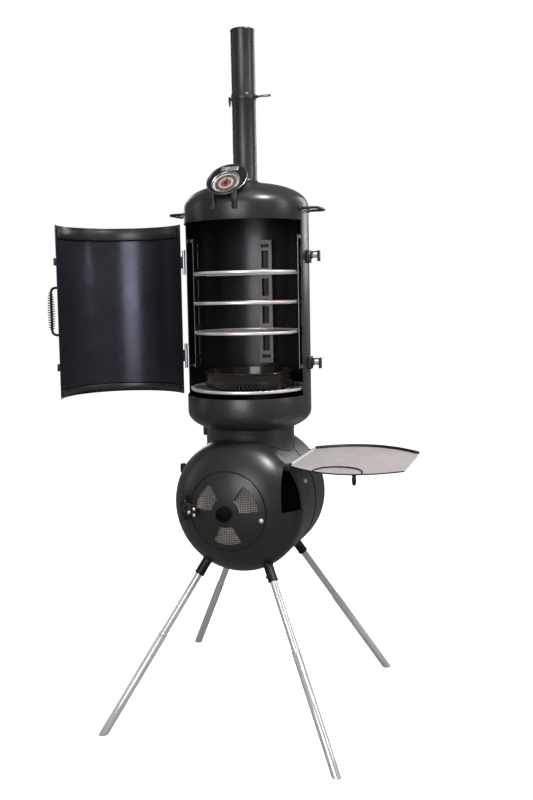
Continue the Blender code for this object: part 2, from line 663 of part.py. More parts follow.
def build_ladder(tag, turn):
    """A flat strip that stands off the drum's wall, with a notch at each shelf level and windows between."""
    back = LADDER_R + LADDER_SHEET
    strip = tangent_box(turn, LADDER_R, back, LADDER_HALF, LADDER_LOW, LADDER_HIGH)
    strip = in_body(f"ladder_{tag}", strip, smoker, CHROME)
    for i, low in enumerate((LADDER_LOW, LADDER_HIGH - LADDER_FOOT)):
        foot = tangent_box(turn, back - 0.001, LADDER_STAND_OFF, LADDER_FOOT, low, low + LADDER_FOOT)
        boolean(strip, cutter_in(f"foot_{tag}_{i}", foot, smoker), "UNION")
    holes = bmesh.new()
    for level in SHELF_LEVELS:
        holes.from_mesh(tangent_box(turn, 0.14, back + 0.003, NOTCH_HALF, level, level + NOTCH_HEIGHT))
    for low, high in zip(SHELF_LEVELS, SHELF_LEVELS[1:]):
        window = tangent_box(turn, 0.14, back + 0.003, WINDOW_HALF, low + WINDOW_ABOVE, high - WINDOW_BELOW)
        holes.from_mesh(window)
    boolean(strip, cutter_in(f"cut_holes_{tag}", finished(holes, "holes", False), smoker))


def build_inside():
    for i, z in enumerate(RACK_Z, 1):
        slotted_disc(f"rack_{i}", RACK_R, z - RACK_SHEET / 2, 0.028, 0.0110, LADDER_AZ)
    slotted_disc("bottom_grate", GRATE_R, GRATE_Z, 0.030, 0.0120, ())
    for azimuth, tag in zip(LADDER_AZ, ("left", "right", "rear")):
        build_ladder(tag, math.radians(azimuth))
    floor = GRATE_Z + RACK_SHEET + GAP
    rim = floor + PAN_HEIGHT
    pan = [(0, floor), (PAN_R - 0.016, floor), (PAN_R - 0.006, floor + 0.005), (PAN_R - 0.002, rim - 0.004),
           (PAN_R, rim - 0.004), (PAN_R, rim), (PAN_R - 0.004, rim), (PAN_R - 0.0075, floor + 0.0065),
           (PAN_R - 0.017, floor + 0.0016), (0, floor + 0.0016)]
    base = smoker["base"]
    pan = profile_mesh("water_pan", [(r, z - base[2]) for r, z in pan])
    turned(add("water_pan", pan, smoker, ((0.09, 0.055, 0.04), 0.4, 0.3), base), FINE)


def build_flue():
    low = DAMPER_Z - BEAD_HALF
    high = DAMPER_Z + BEAD_HALF
    base = smoker["base"]
    lower = [(SPIGOT_TOP_R, high + 0.022), (SPIGOT_TOP_R, high), (BEAD_R, high), (BEAD_R, low),
             (FLUE_R, low - 0.001),
             (FLUE_R, FLUE_BASE + 0.005), (FLANGE_R, FLUE_BASE + 0.002), (FLANGE_R, FLUE_BASE),
             (FLUE_BORE, FLUE_BASE), (FLUE_BORE, high + 0.022)]
    lower = profile_mesh("flue_lower", [(r, z - base[2]) for r, z in lower])
    lower = turned(add("flue_lower", lower, smoker, BLACK, base), MEDIUM)
    spindle_hole = rod("cut_spindle", (-0.05, 0, DAMPER_Z), (0.05, 0, DAMPER_Z), 0.0027)
    boolean(lower, cutter_in("cut_spindle", spindle_hole, smoker))
    upper = [(FLUE_R, FLUE_TOP), (FLUE_R, high + GAP), (UPPER_BORE, high + GAP), (UPPER_BORE, FLUE_TOP)]
    top = flue_top["base"]
    upper = profile_mesh("flue_upper", [(r, z - top[2]) for r, z in upper])
    turned(add("flue_upper", upper, flue_top, BLACK, top), MEDIUM)


def build_damper():
    spindle = rod("damper_plate", (-0.0385, 0, DAMPER_Z), (0.0400, 0, DAMPER_Z), 0.0024)
    blade = in_body("damper_plate", spindle, damper, DARK)
    disc = rod("disc", (0, -0.0008, DAMPER_Z), (0, 0.0008, DAMPER_Z), 0.0286, None, MEDIUM)
    boolean(blade, cutter_in("damper_disc", disc, damper), "UNION")
    tab = boxes("tab", [((-0.0400, -0.0372), (-0.006, 0.006), (DAMPER_Z - 0.018, DAMPER_Z + 0.006))])
    boolean(blade, cutter_in("damper_tab", tab, damper), "UNION")
    reach = [(0.0420, 0.004), (0.060, 0.0075), (0.0745, 0.0060), (0.0745, -0.0060), (0.060, -0.0075),
             (0.0420, -0.004)]
    path = [(x, y, DAMPER_Z) for x, y in reach]
    add_wire("damper_loop", rounded_path(path + path[:1], 0.003, 3)[:-1], 0.0015, damper, DARK, True)


def build_thermometer():
    turn = (DIAL_TILT, 0, 0)
    face = [(0, 0.005), (CASE_R - 0.002, 0.005), (CASE_R, 0.003), (CASE_R, -0.003), (CASE_R - 0.003, -0.005),
            (0, -0.005)]
    case = turned(add("thermometer_case", profile_mesh("case", face), smoker, DARK, DIAL_CENTRE, turn), FINE)
    well = rod("cut_well", (0, -DIAL_DROP, 0.001), (0, -DIAL_DROP, 0.010), DIAL_R + GAP, None, FINE)
    boolean(case, helper("cut_well", well, smoker, DIAL_CENTRE, turn))
    for side in (-1, 1):
        x = DIAL_CENTRE.x + side * 0.030
        foot = boxes("foot", [((x - 0.007, x + 0.007), (-0.1735, -0.1690), (1.362, 1.406))])
        boolean(case, cutter_in(f"foot_{side + 1}", foot, smoker), "UNION")
    dial = rod("thermometer_dial", (0, -DIAL_DROP, 0.001 + GAP), (0, -DIAL_DROP, 0.0026), DIAL_R, None, FINE)
    add("thermometer_dial", dial, smoker, ((0.75, 0.74, 0.72), 0.4, 0.0), DIAL_CENTRE, turn)
    ring = [(DIAL_R + 0.0035, 0.0090), (DIAL_R + 0.0045, 0.0053), (DIAL_R - 0.0005, 0.0053),
            (DIAL_R - 0.0005, 0.0080)]
    rim = profile_mesh("bezel", ring)
    middle = DIAL_CENTRE + Matrix.Rotation(DIAL_TILT, 3, "X") @ Vector((0, -DIAL_DROP, 0))
    turned(add("thermometer_bezel", rim, smoker, CHROME, middle, turn), FINE)
    plaque = boxes("thermometer_plaque", [((-0.024, 0.024), (0.029, 0.045), (0.0053, 0.0065))])
    add("thermometer_plaque", plaque, smoker, STEEL, DIAL_CENTRE, turn)
    pointer = joint_frame("needle_frame", middle, 0, smoker)
    outline = [(-0.0015, -0.009), (0.0015, -0.009), (0.0004, 0.028), (-0.0004, 0.028)]
    needle = plate("thermometer_needle", outline, 0.0034, 0.0042)
    needle = add("thermometer_needle", needle, pointer, DARK, middle, turn)
    hub = rod("needle_hub", (0, 0, 0.0030), (0, 0, 0.0048), 0.0035)
    boolean(needle, helper("needle_hub", hub, pointer, middle, turn), "UNION")


def build_cabinet_door():
    outer = DOOR_IN_R + DOOR_SHEET
    sheet = curved_band("door_panel", DOOR_IN_R, outer, DOOR_LEFT, DOOR_RIGHT, DOOR_LOW, DOOR_HIGH, 26)
    panel = in_body("door_panel", sheet, door, BLACK)
    lip_low, lip_high = OPEN_LOW + LIP_INSET, OPEN_HIGH - LIP_INSET
    for i, (low, high) in enumerate(((lip_low, lip_low + LIP_LOW), (lip_high - LIP_HIGH, lip_high))):
        lip = curved_band("lip", 0.1665, DOOR_IN_R + 0.0005, math.radians(-70), math.radians(75), low, high,
                          20)
        boolean(panel, cutter_in(f"lip_{i}", lip, door), "UNION")
    for i, z in enumerate(LATCH_Z):
        tab = tangent_box(CATCH_AZ, outer - 0.0005, 0.1775, 0.0090, z - 0.010, z + 0.010)
        boolean(panel, cutter_in(f"catch_{i}", tab, door), "UNION")
    for z_name, span in zip(("upper", "lower"), HINGE_SPANS):
        low, high = span
        third = (high - low) / 4
        frame_leaf = tangent_box(math.radians(-88), DRUM_R + 0.0006, DRUM_R + 0.0045, 0.0195, low, high)
        door_leaf = tangent_box(math.radians(-74.8), outer + 0.0006, outer + 0.0032, 0.016,
                                low + third + GAP, high - third - GAP)
        build_hinge(f"door_hinge_{z_name}", HINGE_POINT[:2], span, smoker, door, frame_leaf, door_leaf)
    ends = [polar(outer + 0.0012, HANDLE_AZ, z) for z in (HANDLE_LOW, HANDLE_HIGH)]
    away = polar(0.034, HANDLE_AZ)
    path = rounded_path([ends[0], ends[0] + away, ends[1] + away, ends[1]], 0.012)
    add_wire("door_handle_rod", path, 0.0035, door, DARK)
    ribs, length = 8, HANDLE_HIGH - HANDLE_LOW - 0.030
    outline = []
    for i in range(2 * ribs + 1):
        share = i / (2 * ribs)
        outline.append((GRIP_END_R + GRIP_SWELL * math.sin(math.pi * share) - 0.0015 * (i % 2),
                        length * share))
    outline = [(0.0039, 0)] + outline + [(0.0039, length)]
    grip_at = polar(outer + 0.0012 + 0.034, HANDLE_AZ, HANDLE_LOW + 0.015)
    turned(add("door_handle_grip", profile_mesh("grip", outline), door, DARK, grip_at), COARSE)


def build_latches():
    for tag, z, body in zip(("upper", "lower"), LATCH_Z, latch_frames):
        block = boxes("base", [((DRUM_R + 0.0006, 0.1762), (-0.004, 0.026), (z - 0.017, z + 0.017))])
        base = in_body(f"latch_{tag}_base", block, smoker, DARK)
        post = rod("post", (0.174, 0, z), (POST_END, 0, z), POST_R)
        boolean(base, cutter_in(f"post_{tag}", post, smoker), "UNION")
        knuckle = rod("knuckle", (LATCH_X + GAP, 0, z), (LATCH_X + 0.0055, 0, z), LATCH_KNUCKLE_R)
        lever = in_body(f"latch_{tag}_lever", knuckle, body, DARK)
        web = ((LATCH_X + 0.0020, LATCH_X + 0.0080), (-0.0035, 0.0035), (z, z + LATCH_BAR_Z))
        bar = ((LATCH_X + 0.0020, LATCH_END), (-0.0035, 0.0035), (z + LATCH_BAR_Z - 0.0032, z + LATCH_BAR_Z))
        end = ((LATCH_END - 0.0065, LATCH_END), (-0.0065, 0.0065), (z - 0.0135, z + 0.0150))
        for i, span in enumerate((web, bar, end)):
            boolean(lever, cutter_in(f"lever_{tag}_{i}", boxes("lever", [span]), body), "UNION")
        barrel = rod("barrel", (LATCH_X + 0.0070, 0, z), (LATCH_END - 0.0060, 0, z), LATCH_BARREL_R)
        boolean(lever, cutter_in(f"barrel_{tag}", barrel, body), "UNION")
        hole = rod("hole", (LATCH_X - 0.005, 0, z), (POST_END + GAP, 0, z), POST_R + 0.0002)
        boolean(lever, cutter_in(f"hole_{tag}", hole, body))


def main():
    build_barrel()
    blank = barrel_blank("barrel_blank")
    build_collar(blank)
    build_fire_grate()
    build_legs(blank)
    build_carry_lug(blank)
    build_front_door(blank)
    build_shelf(blank)
    build_stay_bolt(blank)
    build_drum()
    build_inside()
    build_flue()
    build_damper()
    build_thermometer()
    build_cabinet_door()
    build_latches()


main()
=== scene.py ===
"""A portable wood-fired smoker stove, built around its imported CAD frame: a drum with an open cabinet door,
racks, a dial thermometer and a flue, above a horizontal firebox barrel with a side shelf and four legs."""

import json
from math import acos, asin, atan2, cos, hypot, pi, radians, sin, sqrt, tau

import bmesh
import bpy
from mathutils import Matrix, Vector


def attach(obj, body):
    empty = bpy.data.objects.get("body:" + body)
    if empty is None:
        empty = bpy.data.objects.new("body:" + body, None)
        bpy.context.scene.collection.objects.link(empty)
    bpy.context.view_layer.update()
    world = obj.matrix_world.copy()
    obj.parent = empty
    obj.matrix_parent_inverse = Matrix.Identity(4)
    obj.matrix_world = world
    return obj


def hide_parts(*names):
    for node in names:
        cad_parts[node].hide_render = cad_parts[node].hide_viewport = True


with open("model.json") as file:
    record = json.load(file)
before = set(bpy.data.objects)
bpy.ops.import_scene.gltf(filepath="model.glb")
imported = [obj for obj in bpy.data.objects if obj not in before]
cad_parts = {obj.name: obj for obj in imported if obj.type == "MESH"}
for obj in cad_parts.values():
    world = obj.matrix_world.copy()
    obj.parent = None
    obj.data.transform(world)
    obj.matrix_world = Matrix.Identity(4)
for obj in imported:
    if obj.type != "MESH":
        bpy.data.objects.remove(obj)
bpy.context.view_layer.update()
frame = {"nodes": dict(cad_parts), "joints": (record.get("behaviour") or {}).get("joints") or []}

JOINTS = {joint["name"]: joint for joint in frame["joints"]}
ORIGIN = Vector((JOINTS["damper_turn"]["pos_m"][0], 0, 0))

# Sizes in metres, from the drum's axis at floor level. They follow the CAD solids, apart from the collar,
# the spigot, the port's lean and the door handle's reach, which are nearer to the photograph.
BARREL_R, BARREL_STRAIGHT, BARREL_DOME, BARREL_Z, BARREL_WALL = 0.181, 0.098, 0.104, 0.585, 0.003
SEAM_Y = 0.014
PORT_X, PORT_REAR_Y, PORT_TOP_Z, PORT_LEAN = 0.140, -0.110, 0.697, radians(2.8)
DOOR_DISC_R, HOLE_R = 0.1030, 0.1064
VENT_IN_R, VENT_OUT_R, VENT_HALF = 0.038, 0.086, radians(27)
VENT_ANGLES = tuple(radians(a) for a in (30, 150, 270))
SCREEN_R = 0.0900
COLLAR_R, COLLAR_TOP, SPIGOT_R, SPIGOT_Z = 0.1212, 0.7843, 0.1172, 0.755
COLLAR_LUG_AZ, COLLAR_LUG_Z = radians(-72), 0.770
LUG_Y, LUG_RISE = -0.085, radians(27)
DRUM_R, DRUM_WALL, DRUM_LOW, DRUM_HIGH = 0.170, 0.002, 0.830, 1.375
DRUM_BASE_DEPTH, DRUM_TOP_DEPTH, DOME_POWER = 0.062, 0.068, 2.2
GRAB_HALF, GRAB_Z = 0.042, 1.366
OPEN_LOW, OPEN_HIGH = 0.874, 1.336
OPEN_LEFT, OPEN_RIGHT = radians(-78.5), radians(78)
DOOR_IN_R, DOOR_SHEET, DOOR_LOW, DOOR_HIGH = 0.1710, 0.002, 0.870, 1.341
DOOR_LEFT, DOOR_RIGHT = radians(-77.5), radians(80.5)
BAND_R, BAND_AZ = 0.1665, (radians(-70), radians(75))
DOOR_HINGE_R, DOOR_HINGE_AZ, DOOR_REST = 0.178, radians(-80.5), radians(-148)
HINGE_SPANS = {"upper": (1.202, 1.270), "lower": (0.943, 1.011)}
LEAF_AZ = radians(-88)
LATCHES = {"upper": 1.242, "lower": 0.957}
HANDLE_AZ, HANDLE_LOW, HANDLE_HIGH, HANDLE_OUT = radians(68), 1.043, 1.173, 0.029
RACK_R, RACKS = 0.148, {"rack_1": 1.2010, "rack_2": 1.1210, "rack_3": 1.0410}
HOOP_TOP, HOOP_SHEET = 0.0052, 0.0016
GRATE_R, GRATE_Z = 0.160, 0.8865
LATCH_X, LATCH_END, CATCH_AZ = 0.179, 0.2065, radians(82)
PAN_R, PAN_FLOOR, PAN_HEIGHT = 0.126, 0.8908, 0.046
FLUE_R, FLUE_BORE, FLUE_BASE, FLUE_TOP = 0.0324, 0.029, 1.4436, 1.850
DAMPER_Z, BEAD_HALF = 1.672, 0.008
DIAL_CENTRE, DIAL_TILT = Vector((0.002, -0.139, 1.437)), radians(50)
CASE_R, DIAL_R, DIAL_DROP = 0.056, 0.0355, 0.012
TICKS, TICK_END = 40, 0.0295
LEG_TOP, FOOT = Vector((0.104, 0.135, 0.398)), Vector((0.314, 0.312, 0.0))
LEG_UPPER_R, LEG_LOWER_R, SOCKET_R, LEG_STEP = 0.0095, 0.011, 0.013, 0.38
SHELF_HINGE = (0.149, 0.700)
SHELF_START, SHELF_END = 0.153, 0.444
SHELF_HALF_IN, SHELF_HALF_MID, SHELF_HALF_OUT = 0.122, 0.187, 0.114
SHELF_TOP, SHELF_SHEET = 0.7012, 0.002
ARCH_X, ARCH_R, ARCH_INSET = 0.290, 0.062, 0.012
PEG_X = 0.333
FRONT_HINGE = (-0.121, -0.184)
FRONT_LATCH = (0.0945, 0.569)

BARREL_STEPS = 160
BEVEL_ANGLE = radians(38)


# ---- materials

def tree(name):
    """A new material, with its node tree and its shader."""
    mat = bpy.data.materials.new(name)
    mat.use_nodes = True
    return mat, mat.node_tree, mat.node_tree.nodes["Principled BSDF"]


def give(nt, socket, value):
    """Sets a socket to a number, vector or RGB triple, or links it to another socket."""
    if isinstance(value, bpy.types.NodeSocket):
        nt.links.new(value, socket)
    else:
        socket.default_value = (*value, 1) if socket.type == "RGBA" else value


def add(nt, kind, inputs):
    """A new shader node with these named inputs."""
    node = nt.nodes.new("ShaderNode" + kind)
    for key, value in inputs.items():
        give(nt, node.inputs[key], value)
    return node


def noise(nt, scale, detail=4.0, rough=0.55, stretch=(1, 1, 1), distort=0.0):
    """A noise value over the piece's own surface, optionally stretched along an axis."""
    coords = nt.nodes.new("ShaderNodeTexCoord")
    mapping = add(nt, "Mapping", {"Vector": coords.outputs["Object"], "Scale": stretch})
    return add(nt, "TexNoise", {"Vector": mapping.outputs["Vector"], "Scale": scale, "Detail": detail,
                                "Roughness": rough, "Distortion": distort}).outputs["Fac"]


def remap(nt, value, low, high, to_low, to_high):
    return add(nt, "MapRange", {"Value": value, "From Min": low, "From Max": high, "To Min": to_low,
                                "To Max": to_high}).outputs["Result"]


def ramp(nt, value, stops, mode="LINEAR"):
    node = nt.nodes.new("ShaderNodeValToRGB")
    node.color_ramp.interpolation = mode
    elements = node.color_ramp.elements
    while len(elements) < len(stops):
        elements.new(0.5)
    for element, (at, colour) in zip(elements, stops):
        element.position = at
        element.color = (*colour, 1)
    nt.links.new(value, node.inputs["Fac"])
    return node.outputs["Color"]


def mixed(nt, factor, a, b):
    """Two colours, each a socket or an RGB triple, mixed by a socket or number."""
    node = nt.nodes.new("ShaderNodeMix")
    node.data_type = "RGBA"
    for key, value in (("Factor", factor), ("A", a), ("B", b)):
        give(nt, node.inputs[key], value)
    return node.outputs["Result"]


def add_bump(nt, shader, layers):
    """Stacks bump layers, each (height socket, strength, distance in metres)."""
    normal = None
    for height, strength, distance in layers:
        node = add(nt, "Bump", {"Height": height, "Strength": strength, "Distance": distance})
        if normal:
            nt.links.new(normal, node.inputs["Normal"])
        normal = node.outputs["Normal"]
    nt.links.new(normal, shader.inputs["Normal"])


def edges(nt, low, high):
    """1 on worn outer edges, 0 elsewhere."""
    geometry = nt.nodes.new("ShaderNodeNewGeometry")
    return remap(nt, geometry.outputs["Pointiness"], low, high, 0.0, 1.0)


def paint(name, dark, light, rough, grain=0.05, dust=0.25, wear=0.0, shine=0.5):
    """Sprayed paint: mottled colour, uneven sheen, orange-peel surface, dust and, if asked, worn edges."""
    mat, nt, shader = tree(name)
    shader.inputs["Specular IOR Level"].default_value = shine
    colour = ramp(nt, noise(nt, 7, 6, 0.6, distort=0.4), [(0.3, dark), (0.7, light)])
    specks = remap(nt, noise(nt, 260, 2, 0.5), 0.66, 0.78, 0.0, dust)
    colour = mixed(nt, specks, colour, (0.10, 0.098, 0.095))
    if wear:
        worn = nt.nodes.new("ShaderNodeMath")
        worn.operation = "MULTIPLY"
        nt.links.new(edges(nt, 0.53, 0.60), worn.inputs[0])
        nt.links.new(remap(nt, noise(nt, 90, 5), 0.45, 0.62, 0.0, wear), worn.inputs[1])
        colour = mixed(nt, worn.outputs[0], colour, (0.16, 0.155, 0.15))
    nt.links.new(colour, shader.inputs["Base Color"])
    sheen = remap(nt, noise(nt, 16, 5, 0.65), 0.3, 0.7, rough - 0.05, rough + 0.06)
    nt.links.new(sheen, shader.inputs["Roughness"])
    add_bump(nt, shader, [(noise(nt, 420, 3, 0.6), grain, 0.0006), (noise(nt, 22, 2, 0.4), 0.05, 0.003)])
    return mat


def metal(name, colour, rough, scratch=(1, 1, 1), scratch_scale=300, bump=0.03, stain=None, metallic=1.0):
    """Bare or plated metal with fine directional scratches, smudges and, if asked, a stain."""
    mat, nt, shader = tree(name)
    shader.inputs["Metallic"].default_value = metallic
    dull = tuple(c * 0.82 for c in colour)
    smudge = noise(nt, 18, 6, 0.62, distort=0.6)
    base = ramp(nt, smudge, [(0.32, dull), (0.68, colour)])
    if stain:
        base = mixed(nt, remap(nt, noise(nt, 5, 3, 0.5), 0.45, 0.75, 0.0, 0.55), base, stain)
    nt.links.new(base, shader.inputs["Base Color"])
    lines = noise(nt, scratch_scale, 4, 0.7, stretch=scratch)
    nt.links.new(remap(nt, lines, 0.25, 0.75, rough * 0.7, rough * 1.5), shader.inputs["Roughness"])
    add_bump(nt, shader, [(lines, bump, 0.0004)])
    return mat


def dial_face():
    """Printed rings about the dial's middle, with a speckled, slightly yellowed ground."""
    mat, nt, shader = tree("dial_face")
    coords = nt.nodes.new("ShaderNodeTexCoord")
    away = nt.nodes.new("ShaderNodeVectorMath")
    away.operation = "DISTANCE"
    middle = ORIGIN + DIAL_CENTRE + Matrix.Rotation(DIAL_TILT, 3, "X") @ Vector((0, -DIAL_DROP, 0.0026))
    away.inputs[1].default_value = middle
    nt.links.new(coords.outputs["Object"], away.inputs[0])
    share = remap(nt, away.outputs["Value"], 0.0, DIAL_R, 0.0, 1.0)
    rings = ramp(nt, share, [
        (0.0, (0.10, 0.012, 0.015)), (0.20, (0.22, 0.05, 0.055)), (0.34, (0.09, 0.030, 0.028)),
        (0.40, (0.46, 0.33, 0.27)), (0.53, (0.30, 0.215, 0.17)), (0.58, (0.05, 0.035, 0.03)),
        (0.80, (0.045, 0.033, 0.03)), (0.84, (0.62, 0.57, 0.53)), (1.0, (0.55, 0.50, 0.47)),
    ], "CONSTANT")
    grime = remap(nt, noise(nt, 160, 4, 0.6), 0.4, 0.75, 0.0, 0.35)
    nt.links.new(mixed(nt, grime, rings, (0.20, 0.15, 0.13)), shader.inputs["Base Color"])
    nt.links.new(remap(nt, noise(nt, 90, 3), 0.3, 0.7, 0.28, 0.42), shader.inputs["Roughness"])
    add_bump(nt, shader, [(noise(nt, 600, 2), 0.04, 0.0003)])
    return mat


PAINT = paint("satin_black_paint", (0.0140, 0.0132, 0.0136), (0.0225, 0.0212, 0.0216), 0.33)
# The cabinet door's inner face: the black paint, with a blue tint in its colour and specular tint that paints the
# blue of the reflected light.
DOOR_BLUE_REFLECTION_PAINT = paint("door_paint_blue_reflection", (0.0115, 0.0112, 0.0150), (0.0170, 0.0165, 0.0215), 0.27, grain=0.03,
                   dust=0.12)
DOOR_BLUE_REFLECTION_PAINT.node_tree.nodes["Principled BSDF"].inputs["Specular Tint"].default_value = (0.80, 0.82, 1.0, 1)
# A darker copy of the black paint for the faces that look inwards: painted shade inside the drum and the flue.
INSIDE_SHADE_PAINT = paint("inside_shade_paint", (0.0045, 0.0045, 0.0055), (0.0085, 0.0085, 0.0100), 0.30, grain=0.05,
                    dust=0.10)
TRIM = paint("black_trim", (0.0040, 0.0040, 0.0044), (0.0078, 0.0076, 0.0080), 0.42, grain=0.08, dust=0.12,
             wear=0.35, shine=0.3)
CAST = paint("cast_iron", (0.020, 0.018, 0.017), (0.045, 0.040, 0.036), 0.68, grain=0.5, dust=0.5)
KNOB = paint("moulded_black", (0.0020, 0.0020, 0.0022), (0.0034, 0.0034, 0.0036), 0.75, grain=0.10,
             dust=0.04, shine=0.08)
ENAMEL = paint("pan_enamel", (0.010, 0.0085, 0.0065), (0.022, 0.018, 0.013), 0.16, grain=0.04, dust=0.30)
CHROME = metal("plated_chrome", (0.86, 0.86, 0.86), 0.14, (60, 60, 3), 4, 0.05, None, 0.60)
RACK_WIRE = metal("rack_wire", (0.90, 0.85, 0.83), 0.32, (1, 1, 1), 260, 0.06, (0.60, 0.50, 0.42), 0.55)
SHELF_STEEL = metal("shelf_steel", (0.60, 0.545, 0.535), 0.36, (4, 300, 4), 3, 0.08, (0.50, 0.49, 0.42),
                    0.30)
SCREEN_STEEL = metal("screen_steel", (0.95, 0.86, 0.76), 0.38, (1, 1, 1), 400, 0.06, (0.72, 0.52, 0.50),
                     0.35)
LADDER_STEEL = metal("ladder_steel", (0.22, 0.215, 0.21), 0.36, (1, 1, 1), 220, 0.10, (0.16, 0.12, 0.09))
ZINC = metal("zinc_plate", (0.50, 0.50, 0.51), 0.30, (1, 1, 1), 260, 0.08)
PLAQUE_STEEL = metal("plaque_steel", (0.88, 0.86, 0.86), 0.22, (300, 6, 6), 3, 0.08)
DIAL = dial_face()


# ---- mesh helpers

def shift(x, y, z):
    return Matrix.Translation((x, y, z))


def spin(degrees, axis):
    return Matrix.Rotation(radians(degrees), 4, axis)


def polar(radius, azimuth, z=0.0):
    """A point at this azimuth, measured from the front (-Y) towards +X."""
    return Vector((radius * sin(azimuth), -radius * cos(azimuth), z))


def piece(name, bm, body, mat, replaces=None, solid=None, bevel=None, place=None, sharp=40):
    """Turns a bmesh, given in the drum-axis frame, into one finished piece that rides on a body. The cabinet
    door's pieces are given shut and swing open here."""
    obj = temporary(bm, name)
    if solid:
        thicken(obj, solid)
    if bevel:
        soft = obj.modifiers.new("edge", "BEVEL")
        soft.width = bevel
        soft.segments = 2
        soft.limit_method = "ANGLE"
        soft.angle_limit = BEVEL_ANGLE
    if obj.modifiers:
        bake_modifiers(obj)
    mesh = obj.data
    if body == "cabinet_door":
        place = DOOR_OPEN
    mesh.transform(Matrix.Translation(ORIGIN) @ (place or Matrix.Identity(4)))
    mesh.shade_smooth()
    mesh.set_sharp_from_angle(angle=radians(sharp))
    mesh.materials.append(mat)
    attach(obj, body)
    if replaces:
        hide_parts(replaces)
    return obj


def bake_modifiers(obj):
    bpy.context.view_layer.update()
    graph = bpy.context.evaluated_depsgraph_get()
    mesh = bpy.data.meshes.new_from_object(obj.evaluated_get(graph))
    obj.modifiers.clear()
    obj.data = mesh


def carved(bm, cutters):
    """The shape with each cutter taken away."""
    base = temporary(bm)
    for cutter in cutters:
        other = temporary(cutter)
        cut = base.modifiers.new("cut", "BOOLEAN")
        cut.operation = "DIFFERENCE"
        cut.solver = "EXACT"
        cut.object = other
        bake_modifiers(base)
        bpy.data.objects.remove(other)
    return taken_back(base)


def taken_back(obj):
    """The finished mesh of a temporary object, which is removed."""
    bake_modifiers(obj)
    bm = bmesh.new()
    bm.from_mesh(obj.data)
    bpy.data.objects.remove(obj)
    return bm


def temporary(bm, name="temporary"):
    """An object in the scene from a bmesh, which is used up."""
    bmesh.ops.recalc_face_normals(bm, faces=bm.faces)
    mesh = bpy.data.meshes.new(name)
    bm.to_mesh(mesh)
    bm.free()
    obj = bpy.data.objects.new(name, mesh)
    bpy.context.scene.collection.objects.link(obj)
    return obj


def thicken(obj, thickness):
    """Adds a wall inwards from the outer skin."""
    shell = obj.modifiers.new("thickness", "SOLIDIFY")
    shell.thickness = thickness
    shell.offset = -1


def joined(*shapes):
    whole = bmesh.new()
    for bm in shapes:
        mesh = bpy.data.meshes.new("joined")
        bm.to_mesh(mesh)
        bm.free()
        whole.from_mesh(mesh)
        bpy.data.meshes.remove(mesh)
    return whole


def moved(bm, matrix):
    bmesh.ops.transform(bm, matrix=matrix, verts=bm.verts)
    return bm


def lathe(profile, steps=96, matrix=None, loop=False):
    """Turns (radius, height) points about Z. A loop closes on itself; an open line ends on the axis."""
    bm = bmesh.new()
    turns = [tau * k / steps for k in range(steps)]
    rings = []
    for radius, height in profile:
        if radius < 1e-7:
            rings.append([bm.verts.new((0, 0, height))])
        else:
            rings.append([bm.verts.new((radius * cos(a), radius * sin(a), height)) for a in turns])
    pairs = list(zip(rings, rings[1:])) + ([(rings[-1], rings[0])] if loop else [])
    for low, high in pairs:
        for k in range(steps):
            after = k + 1
            quad = low[k % len(low)], low[after % len(low)], high[after % len(high)], high[k % len(high)]
            unique = list(dict.fromkeys(quad))
            if len(unique) > 2:
                bm.faces.new(unique)
    return moved(bm, matrix) if matrix else bm


def off(radius, height, *points):
    """Profile points, each given in millimetres outwards from a radius and upwards from a height."""
    return [(radius + out / 1000, height + up / 1000) for out, up in points]


def along(start, end):
    """A matrix that puts Z along the line from start to end, with its origin at start."""
    start, end = Vector(start), Vector(end)
    return Matrix.Translation(start) @ (end - start).to_track_quat("Z", "Y").to_matrix().to_4x4()


def round_rod(radius, length, soft, steps=24, matrix=None):
    """A rod with softened ends."""
    arc = [(radius - soft + soft * cos(a), soft - soft * sin(a)) for a in (pi / 8 * k for k in range(5))]
    profile = [(0, 0)] + arc[::-1] + [(r, length - z) for r, z in arc] + [(0, length)]
    return lathe(profile, steps, matrix)


def plain_rod(radius, low, high, x, y):
    """A plain upright cylinder."""
    return lathe([(0, low), (radius, low), (radius, high), (0, high)], 24, shift(x, y, 0))


def block(size, soft, matrix=None, segments=2):
    """A box with rounded edges."""
    bm = bmesh.new()
    bmesh.ops.create_cube(bm, size=1, matrix=Matrix.Diagonal((*size, 1)))
    bmesh.ops.bevel(bm, geom=list(bm.edges), offset=soft, segments=segments, profile=0.5, affect="EDGES")
    return moved(bm, matrix) if matrix else bm


def tube(bm, path, radius, sides=10, closed=False):
    """Sweeps a circle along a path, with frames carried from point to point."""
    points = [Vector(p) for p in path]
    count = len(points)
    normal = None
    rings = []
    for i, point in enumerate(points):
        before = points[i - 1] if i or closed else point
        after = points[(i + 1) % count] if i < count - 1 or closed else point
        forward = (after - before).normalized()
        if normal is None:
            normal = forward.orthogonal().normalized()
        normal = (normal - forward * normal.dot(forward)).normalized()
        side = forward.cross(normal)
        rings.append([bm.verts.new(p) for p in ring(point, normal * radius, side * radius, sides)])
    for low, high in list(zip(rings, rings[1:])) + ([(rings[-1], rings[0])] if closed else []):
        for k in range(sides):
            bm.faces.new((low[k], low[(k + 1) % sides], high[(k + 1) % sides], high[k]))
    if not closed:
        bm.faces.new(rings[0][::-1])
        bm.faces.new(rings[-1])
    return bm


def wires(paths, radius, sides=10, closed=False):
    bm = bmesh.new()
    for path in paths:
        tube(bm, path, radius, sides, closed)
    return bm


def ring(centre, across, up, steps):
    """Points once round an ellipse with these two half axes."""
    return [centre + across * cos(tau * k / steps) + up * sin(tau * k / steps) for k in range(steps)]


def prism(outline, depth):
    """A flat outline raised by a depth vector."""
    bm = bmesh.new()
    low = [bm.verts.new(p) for p in outline]
    high = [bm.verts.new(v.co + Vector(depth)) for v in low]
    bm.faces.new(low)
    bm.faces.new(high[::-1])
    for k in range(len(low)):
        bm.faces.new((low[k - 1], low[k], high[k], high[k - 1]))
    return bm


